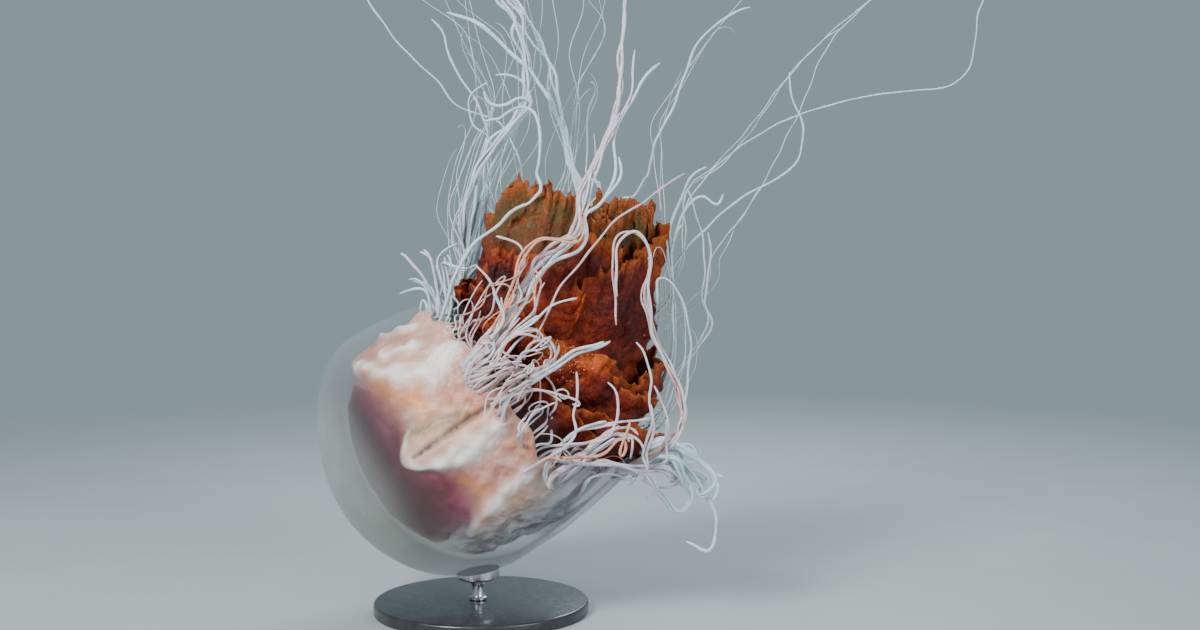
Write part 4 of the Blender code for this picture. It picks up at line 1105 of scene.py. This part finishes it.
def runs(lines):
    """How far each point is along its line."""
    return lengths(lines)[:, None] * np.linspace(0, 1, lines.shape[1])


def clear_of_arms(lines, run, times, relaxing):
    """The lines moved out of the oral arms, but for the first few centimetres at their roots."""
    for _ in range(times):
        lines = lines + smooth((run - ROOT_CLEARANCE) / 0.04)[..., None] * out_of_arms(lines)
        lines = relaxed(lines, relaxing)
    return lines


def relaxed(lines, times):
    for _ in range(times):
        lines[:, 1:-1] = (lines[:, :-2] + 2 * lines[:, 1:-1] + lines[:, 2:]) / 4
    return lines


def frames(lines):
    """Directions along many lines, and two across them that don't twist."""
    along = unit(np.gradient(lines, axis=1))
    side = np.zeros(lines.shape)
    side[:, 0] = unit(np.cross(along[:, 0], UP + 0.01))
    for i in range(1, lines.shape[1]):
        last = side[:, i - 1]
        side[:, i] = unit(last - (last * along[:, i]).sum(-1, keepdims=True) * along[:, i])
    return along, side, np.cross(along, side)


def out_of_arms(points):
    """How far to move points that lie within the space of the oral arms."""
    places = np.linspace(0, 1.05, 24)
    line, along = arm_line(places)
    front = unit(NEAR - (along @ NEAR)[:, None] * along)
    from_line = points[..., None, :] - line
    apart = np.linalg.norm(from_line, axis=-1)
    cosine = (from_line * np.cross(front, along)).sum(-1) / apart
    inside = arm_reach(places) * sag(places, cosine) * 1.02 + ARM_CLEARANCE - apart
    nearest = np.argmax(inside, axis=-1)[..., None]
    inside = np.take_along_axis(inside, nearest, -1)
    away = np.take_along_axis(from_line / apart[..., None], nearest[..., None], -2)[..., 0, :]
    return away * np.clip(inside, 0, 0.06)


def tentacle_lines(bunch, count, guide, spread, ends, curl, hook, random):
    """The lines of one spray: from roots to margin, along the guide, with curls and a hooked tip."""
    share = (np.arange(count) + 0.5) / count * 2 - 1 + random.uniform(-0.5, 0.5, count) / count
    angle = bunch * LOBE_STEP + ROOT_SPREAD * share
    root = fold_end(angle) - random.uniform(0.03, 0.16, count)
    sideways = 0.5 * share + random.uniform(-0.9, 0.9, count)
    drift = np.stack([sideways, *random.uniform(-1, 1, (2, count))], -1)
    spread = np.array(spread) / 1000
    controls = [wall(angle, root, 0.007), wall(angle, root + 0.18, 0.009), wall(angle, 2.0, MARGIN_DEPTH)]
    for point, fan in zip(np.array(guide) / 1000, np.linspace(0.45, 1, len(guide))):
        controls.append(point + spread * (fan * drift + random.uniform(-0.5, 0.5, (count, 3))))
    lines = np.stack(controls, axis=1)
    rows = int(lengths(lines).max() / TENTACLE_STEP)
    lines = relaxed(resampled(lines, rows, np.ones(count)), 22)
    lines = resampled(lines, rows, random.uniform(*ends, count))
    run = runs(lines)
    along, side, other = frames(lines)
    width, length = curl
    pace = 2 * math.pi / (length * random.uniform(0.75, 1.4, (count, 1)))
    swell = np.clip(0.45 + 0.75 * np.sin(0.3 * pace * run + random.uniform(0, 6.3, (count, 1))), 0, 1.2)
    reach = (width * swell * smooth(run / 0.03) * random.uniform(0.5, 1.3, (count, 1)))[..., None]
    phase = (pace * run + random.uniform(0, 6.3, (count, 1)) + 0.8 * np.sin(0.37 * pace * run))[..., None]
    flat = random.uniform(0.25, 1.0, (count, 1, 1))
    lines = lines + reach * np.cos(phase) * side + reach * flat * np.sin(phase) * other
    turns, length = hook
    along = unit(np.gradient(lines, axis=1))
    for i in range(count):
        tail = np.where(run[i] > max(run[i, -1] - length, 0.4 * run[i, -1]))[0]
        first = tail[0]
        across = random.normal(size=3) + [-0.6, -0.3, -0.5]
        across = unit(across - across @ along[i, first] * along[i, first])
        turn = 2 * math.pi * turns * random.uniform(0.2, 1.2) * np.linspace(0, 1, len(tail)) ** 1.4
        heading = np.cos(turn)[:, None] * along[i, first] + np.sin(turn)[:, None] * across
        lines[i, tail] = lines[i, first] + np.cumsum(heading, axis=0) * (run[i, 1] - run[i, 0])
    return clear_of_arms(lines, run, 4, 2)


def spline(points, steps):
    """A smooth line through these points, with this many steps between each two."""
    ends = np.concatenate([points[:1], points, points[-1:]])
    t = np.linspace(0, 1, steps, endpoint=False)[:, None]
    parts = []
    for a, b, c, d in zip(ends, ends[1:], ends[2:], ends[3:]):
        parts.append(b + t / 2 * (c - a + t * (2 * a - 5 * b + 4 * c - d + t * (3 * (b - c) + d - a))))
    return np.concatenate([*parts, points[-1:]])


def lead_lines(bunch, count, stray, near, far, x, z, random):
    """The lines of one tentacle of its own shape and of those that run alongside it."""
    guide = np.stack([x, np.linspace(near, far, len(x)), z], -1) / 1000
    turns, downs = ROOT_SPREAD * np.linspace(-1, 1, 31), np.linspace(1.45, 2.0, 12)
    around, down = np.meshgrid(bunch * LOBE_STEP + turns, downs)
    behind = guide[0] - 0.035 * unit(guide[1] - guide[0])
    nearest = np.argmin(np.linalg.norm(wall(around, down, MARGIN_DEPTH) - behind, axis=-1))
    closest, leave = around.flat[nearest], down.flat[nearest]
    lines = []
    for i in range(count):
        angle = closest + 0.10 * random.uniform(-1, 1)
        root = min(fold_end(angle), leave - 0.1) - random.uniform(0.0, 0.08)
        share = np.linspace(0.3, 1, len(guide))[:, None]
        aside = share * random.uniform(-1, 1, 3) + random.normal(0, 0.35, guide.shape)
        path = guide + stray / 1000 * (i > 0) * aside
        start = [wall(angle, root, 0.008), wall(angle, leave, MARGIN_DEPTH)]
        if np.linalg.norm(start[1] - path[0]) < 0.045:
            start = [wall(angle, leave, 0.009)]
        lines.append(spline(np.concatenate([start, path]), 12))
    lines = np.concatenate([resampled([line], FINE_STEPS, [1.0]) for line in lines])
    ends = np.where(np.arange(count) > 0, random.uniform(0.55, 1.0, count), 1.0)
    lines = relaxed(resampled(lines, int(lengths(lines).max() / TENTACLE_STEP), ends), 3)
    run = runs(lines)
    phase = random.uniform(0, 6.3, (2, count, 1))
    lines[..., 1] += 0.0015 * np.sin(run * 90 + phase[0]) * smooth(run / 0.05)
    lines[..., 0] += 0.0010 * np.sin(run * 130 + phase[1]) * smooth(run / 0.05)
    return clear_of_arms(lines, run, 3, 1)


def tentacle_tubes(sheaf, lines, radii, tints, column, total):
    """Closed tubes along these lines.  Each has its own column of the UV map."""
    along, side, other = frames(lines)
    bead = np.arange(lines.shape[1]) * 1.1 + 2.3 * column + np.arange(len(lines))[:, None]
    radii = radii * (1 + 0.06 * np.sin(bead) + 0.10 * np.sin(0.37 * bead) + 0.03 * np.sin(2.3 * bead))
    turn = full_turn(TENTACLE_SIDES)[:, None]
    spokes = np.cos(turn) * side[:, :, None] + np.sin(turn) * other[:, :, None]
    rings = lines[:, :, None] + radii[..., None, None] * spokes
    for i, tint in enumerate(tints):
        ends = np.stack([lines[i, 0], lines[i, -1] + along[i, -1] * radii[i, -1]])
        patch = ((column + i) / total, 0.0, 1 / total, 1.0)
        sheaf.tube(rings[i], ends, patch, tint=tint, along=np.linspace(0, 1, lines.shape[1]))


def lead_strands(number, bunch, count, thick, tint, *shape):
    """Lines, radii and tints of the tentacles of one row of LEADS."""
    random = np.random.default_rng(SEEDS["leads"] + number)
    lines = lead_lines(bunch, count, *shape, random)
    share = np.linspace(0, 1, lines.shape[1])
    radii = thick / 1000 * random.uniform(0.85, 1.1, (count, 1)) * (1.0 - 0.28 * share)
    radii = radii * (0.55 + 0.45 * smooth((1 - share) / 0.02))
    tints = np.clip(tint + random.uniform(-0.2, 0.2, count), 0, MOST_PINK)
    return lines, radii, np.where(tint == ORANGE, tint, tints)


def spray_strands(number, bunch, count, guide, spread, first, last, thick, wide, long, hook, turns, tint):
    """Lines, radii and tints of the tentacles of one row of SPRAYS."""
    random = np.random.default_rng(SEEDS["sprays"] + number)
    curl, tip = (wide / 1000, long / 1000), (turns, hook / 1000)
    lines = tentacle_lines(bunch, count, guide, spread, (first, last), curl, tip, random)
    share = np.linspace(0, 1, lines.shape[1])
    base = thick / 1000 * random.uniform(0.65, 1.15, (count, 1))
    radii = base * (0.42 + 0.58 * (1 - share) ** 0.8) * (0.5 + 0.5 * smooth((1 - share) / 0.02))
    tints = np.clip(tint + random.uniform(-0.35, 0.35, count), 0, MOST_PINK)
    tints[random.random(count) < 0.12 * (tint > 0.4)] = ORANGE
    return lines, radii, tints


def make_tentacles(finish):
    tables = (lead_strands, LEADS), (spray_strands, SPRAYS)
    rows = [(strands, number, row) for strands, table in tables for number, row in enumerate(table)]
    for bunch in range(LOBES):
        sheaf = Sheaf()
        own_rows = [(strands, number, row) for strands, number, row in rows if row[0] == bunch]
        total = sum(row[1] for *_, row in own_rows)
        column = 0
        for strands, number, row in own_rows:
            tentacle_tubes(sheaf, *strands(number, *row), column, total)
            column += row[1]
        piece = sheaf.piece(f"tentacle_bunch_{bunch + 1}", finish)
        own = (f"tentacle_{bunch + 1}_", f"tentacle_roots_{bunch + 1}")
        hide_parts(*[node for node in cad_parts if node.startswith(own)])
        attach(piece, BODY)


# ---- the stand --------------------------------------------------------------------------------
SHARP = math.radians(40)
BASE_AROUND, BASE_EDGE, ROD_AROUND = 160, 0.003, 64


def lathe(name, profile, centre, around, finish):
    """A closed turned piece on a vertical axis, from radius and height pairs, first and last on the axis."""
    turn = full_turn(around)
    x, y = np.cos(turn), np.sin(turn)
    rings = np.array(
        [np.stack([centre[0] + r * x, centre[1] + r * y, np.full(around, z)], -1) for r, z in profile[1:-1]]
    )
    sheaf = Sheaf()
    ends = np.array([[*centre, profile[0][1]], [*centre, profile[-1][1]]])
    sheaf.tube(rings, ends, WHOLE_PATCH)
    piece = sheaf.piece(name, finish)
    piece.data.set_sharp_from_angle(angle=SHARP)
    return piece


def rounded(radius, low, high, edge, steps=6):
    """A disc's outline from its underside to its top, with rounded edges."""
    small, bends = edge / 3, np.linspace(0, math.pi / 2, steps)
    lower = [(radius - small + small * math.sin(a), low + small - small * math.cos(a)) for a in bends]
    upper = [(radius - edge + edge * math.cos(a), high - edge + edge * math.sin(a)) for a in bends]
    return [(0.0, low), *lower, *upper, (radius * 0.5, high), (0.0, high)]


def stand_finishes():
    black = Finish("stand_lacquer", Roughness=0.32, Coat_Weight=0.3, Coat_Roughness=0.12)
    scuffs = black.noise(40.0, 6.0, 0.7)
    black.set("Base Color", black.ramp(scuffs, [(0.3, (0.016, 0.017, 0.019)), (0.8, (0.040, 0.041, 0.045))]))
    black.set("Roughness", black.ramp(black.noise(160.0, 5.0), [(0.3, 0.26), (0.7, 0.42)]))
    black.bump(black.noise(900.0, 2.0), 0.0001)
    steel = Finish("stand_steel", Metallic=1.0, Roughness=0.28)
    brushed = steel.noise(300.0, 3.0, stretch=(1.0, 1.0, 0.02))
    steel.set("Base Color", steel.ramp(brushed, [(0.3, (0.50, 0.51, 0.53)), (0.7, (0.68, 0.69, 0.71))]))
    steel.set("Roughness", steel.ramp(brushed, [(0.3, 0.22), (0.7, 0.40)]))
    return black.material, steel.material


# The rod's radii and heights above its foot; height 0 is up against the bell.
ROD_PROFILE = [(0.0100, 0.0001), (0.0106, 0.0006), (0.0106, 0.0026), (0.0100, 0.0032), (0.0076, 0.0036),
               (0.0070, 0.0044), (0.0070, 0.0150), (0.0073, 0.0175), (0.0085, 0.0195), (0.0115, 0.0214),
               (0.0165, 0.0234), (0.0225, 0.0252), (0.0250, 0.0262), (0.0258, 0.0272), (0.0260, 0.0284),
               (0.0260, 0), (0.0250, 0), (0.0180, 0), (0.0080, 0)]


def make_stand():
    black, steel = stand_finishes()
    low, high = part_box("stand_base")
    centre = ((low[0] + high[0]) / 2, (low[1] + high[1]) / 2)
    outline = rounded((high[0] - low[0]) / 2, low[2], high[2], BASE_EDGE)
    base = lathe("stand_base_disc", outline, centre, BASE_AROUND, black)
    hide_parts("stand_base")
    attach(base, BODY)
    (left, front, foot), (right, rear, _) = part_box("stand_rod")
    centre = ((left + right) / 2, (front + rear) / 2)
    places = np.meshgrid(np.linspace(2.6, 3.7, 200), np.linspace(0.4, 1.0, 300))
    under = wall(*places, -0.0004, from_outside=True).reshape(-1, 3)
    rings = []
    turn = full_turn(ROD_AROUND)
    for radius, height in ROD_PROFILE:
        x, y = centre[0] + radius * np.cos(turn), centre[1] + radius * np.sin(turn)
        nearest = np.argmin((under[:, 0] - x[:, None]) ** 2 + (under[:, 1] - y[:, None]) ** 2, axis=1)
        z = np.full(ROD_AROUND, foot + height) if height else under[nearest, 2]
        rings.append(np.stack([x, y, z], -1))
    sheaf = Sheaf()
    ends = np.array([[*centre, foot], rings[-1].mean(axis=0)])
    sheaf.tube(np.array(rings), ends, WHOLE_PATCH)
    rod = sheaf.piece("stand_rod_skin", steel)
    rod.data.set_sharp_from_angle(angle=SHARP)
    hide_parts("stand_rod")
    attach(rod, BODY)


# ---- floor, light and camera ------------------------------------------------------------------
FLOOR = 14.0
AIM = Vector((0.144, 0.0, 0.360))
CAMERA_PITCH, CAMERA_DISTANCE = math.radians(4), 2.0


def make_stage():
    f = Finish("floor_pale", Roughness=0.75)
    f.set("Base Color", f.ramp(f.noise(3.0, 4.0), [(0.3, (0.33, 0.355, 0.37)), (0.7, (0.355, 0.38, 0.395))]))
    away = f.node("ShaderNodeVectorMath", {0: f.place}, operation="LENGTH").outputs["Value"]
    f.set("Alpha", f.ramp(f.math("DIVIDE", away, 5.0), [(0.13, 1.0), (0.55, 0.0)]))
    mesh = bpy.data.meshes.new("floor")
    corners = [(-FLOOR, -FLOOR, 0), (FLOOR, -FLOOR, 0), (FLOOR, FLOOR, 0), (-FLOOR, FLOOR, 0)]
    mesh.from_pydata(corners, [], [(0, 1, 2, 3)])
    mesh.materials.append(f.material)
    floor = placed("floor", mesh)
    world = bpy.data.worlds.new("studio")
    world.use_nodes = True
    back = world.node_tree.nodes["Background"]
    back.inputs["Color"].default_value = (0.25, 0.33, 0.36, 1.0)
    back.inputs["Strength"].default_value = 1.0
    bpy.context.scene.world = world


def aim(thing):
    """Turns a light or the camera to the middle of the picture."""
    away = Vector(thing.location) - AIM
    thing.rotation_mode = "QUATERNION"
    thing.rotation_quaternion = away.to_track_quat("Z", "Y")


def make_light(name, place, size, power, colour):
    data = bpy.data.lights.new(name, "AREA")
    data.shape = "DISK"
    data.size = size
    data.energy = power
    data.color = colour
    light = placed(name, data)
    light.location = place
    aim(light)


def make_camera():
    data = bpy.data.cameras.new("camera")
    data.lens, data.sensor_width = 50.0, 36.0
    camera = placed("camera", data)
    away = Vector((0.0, -math.cos(CAMERA_PITCH), math.sin(CAMERA_PITCH)))
    camera.location = AIM + CAMERA_DISTANCE * away
    aim(camera)
    bpy.context.scene.camera = camera


def main():
    make_bell(jelly_finish())
    make_muscle(muscle_finish())
    make_stomach(stomach_finish())
    make_arms(arm_finish())
    make_tentacles(tentacle_finish())
    make_stand()
    make_stage()
    make_light("key", (-1.3, -1.9, 1.9), 1.0, 120, (1.0, 0.98, 0.95))
    make_light("fill", (1.8, -1.5, 0.9), 1.4, 30, (0.92, 0.97, 1.0))
    make_light("back", (0.6, 1.8, 1.7), 1.2, 40, (0.90, 0.97, 1.0))
    make_camera()


main()
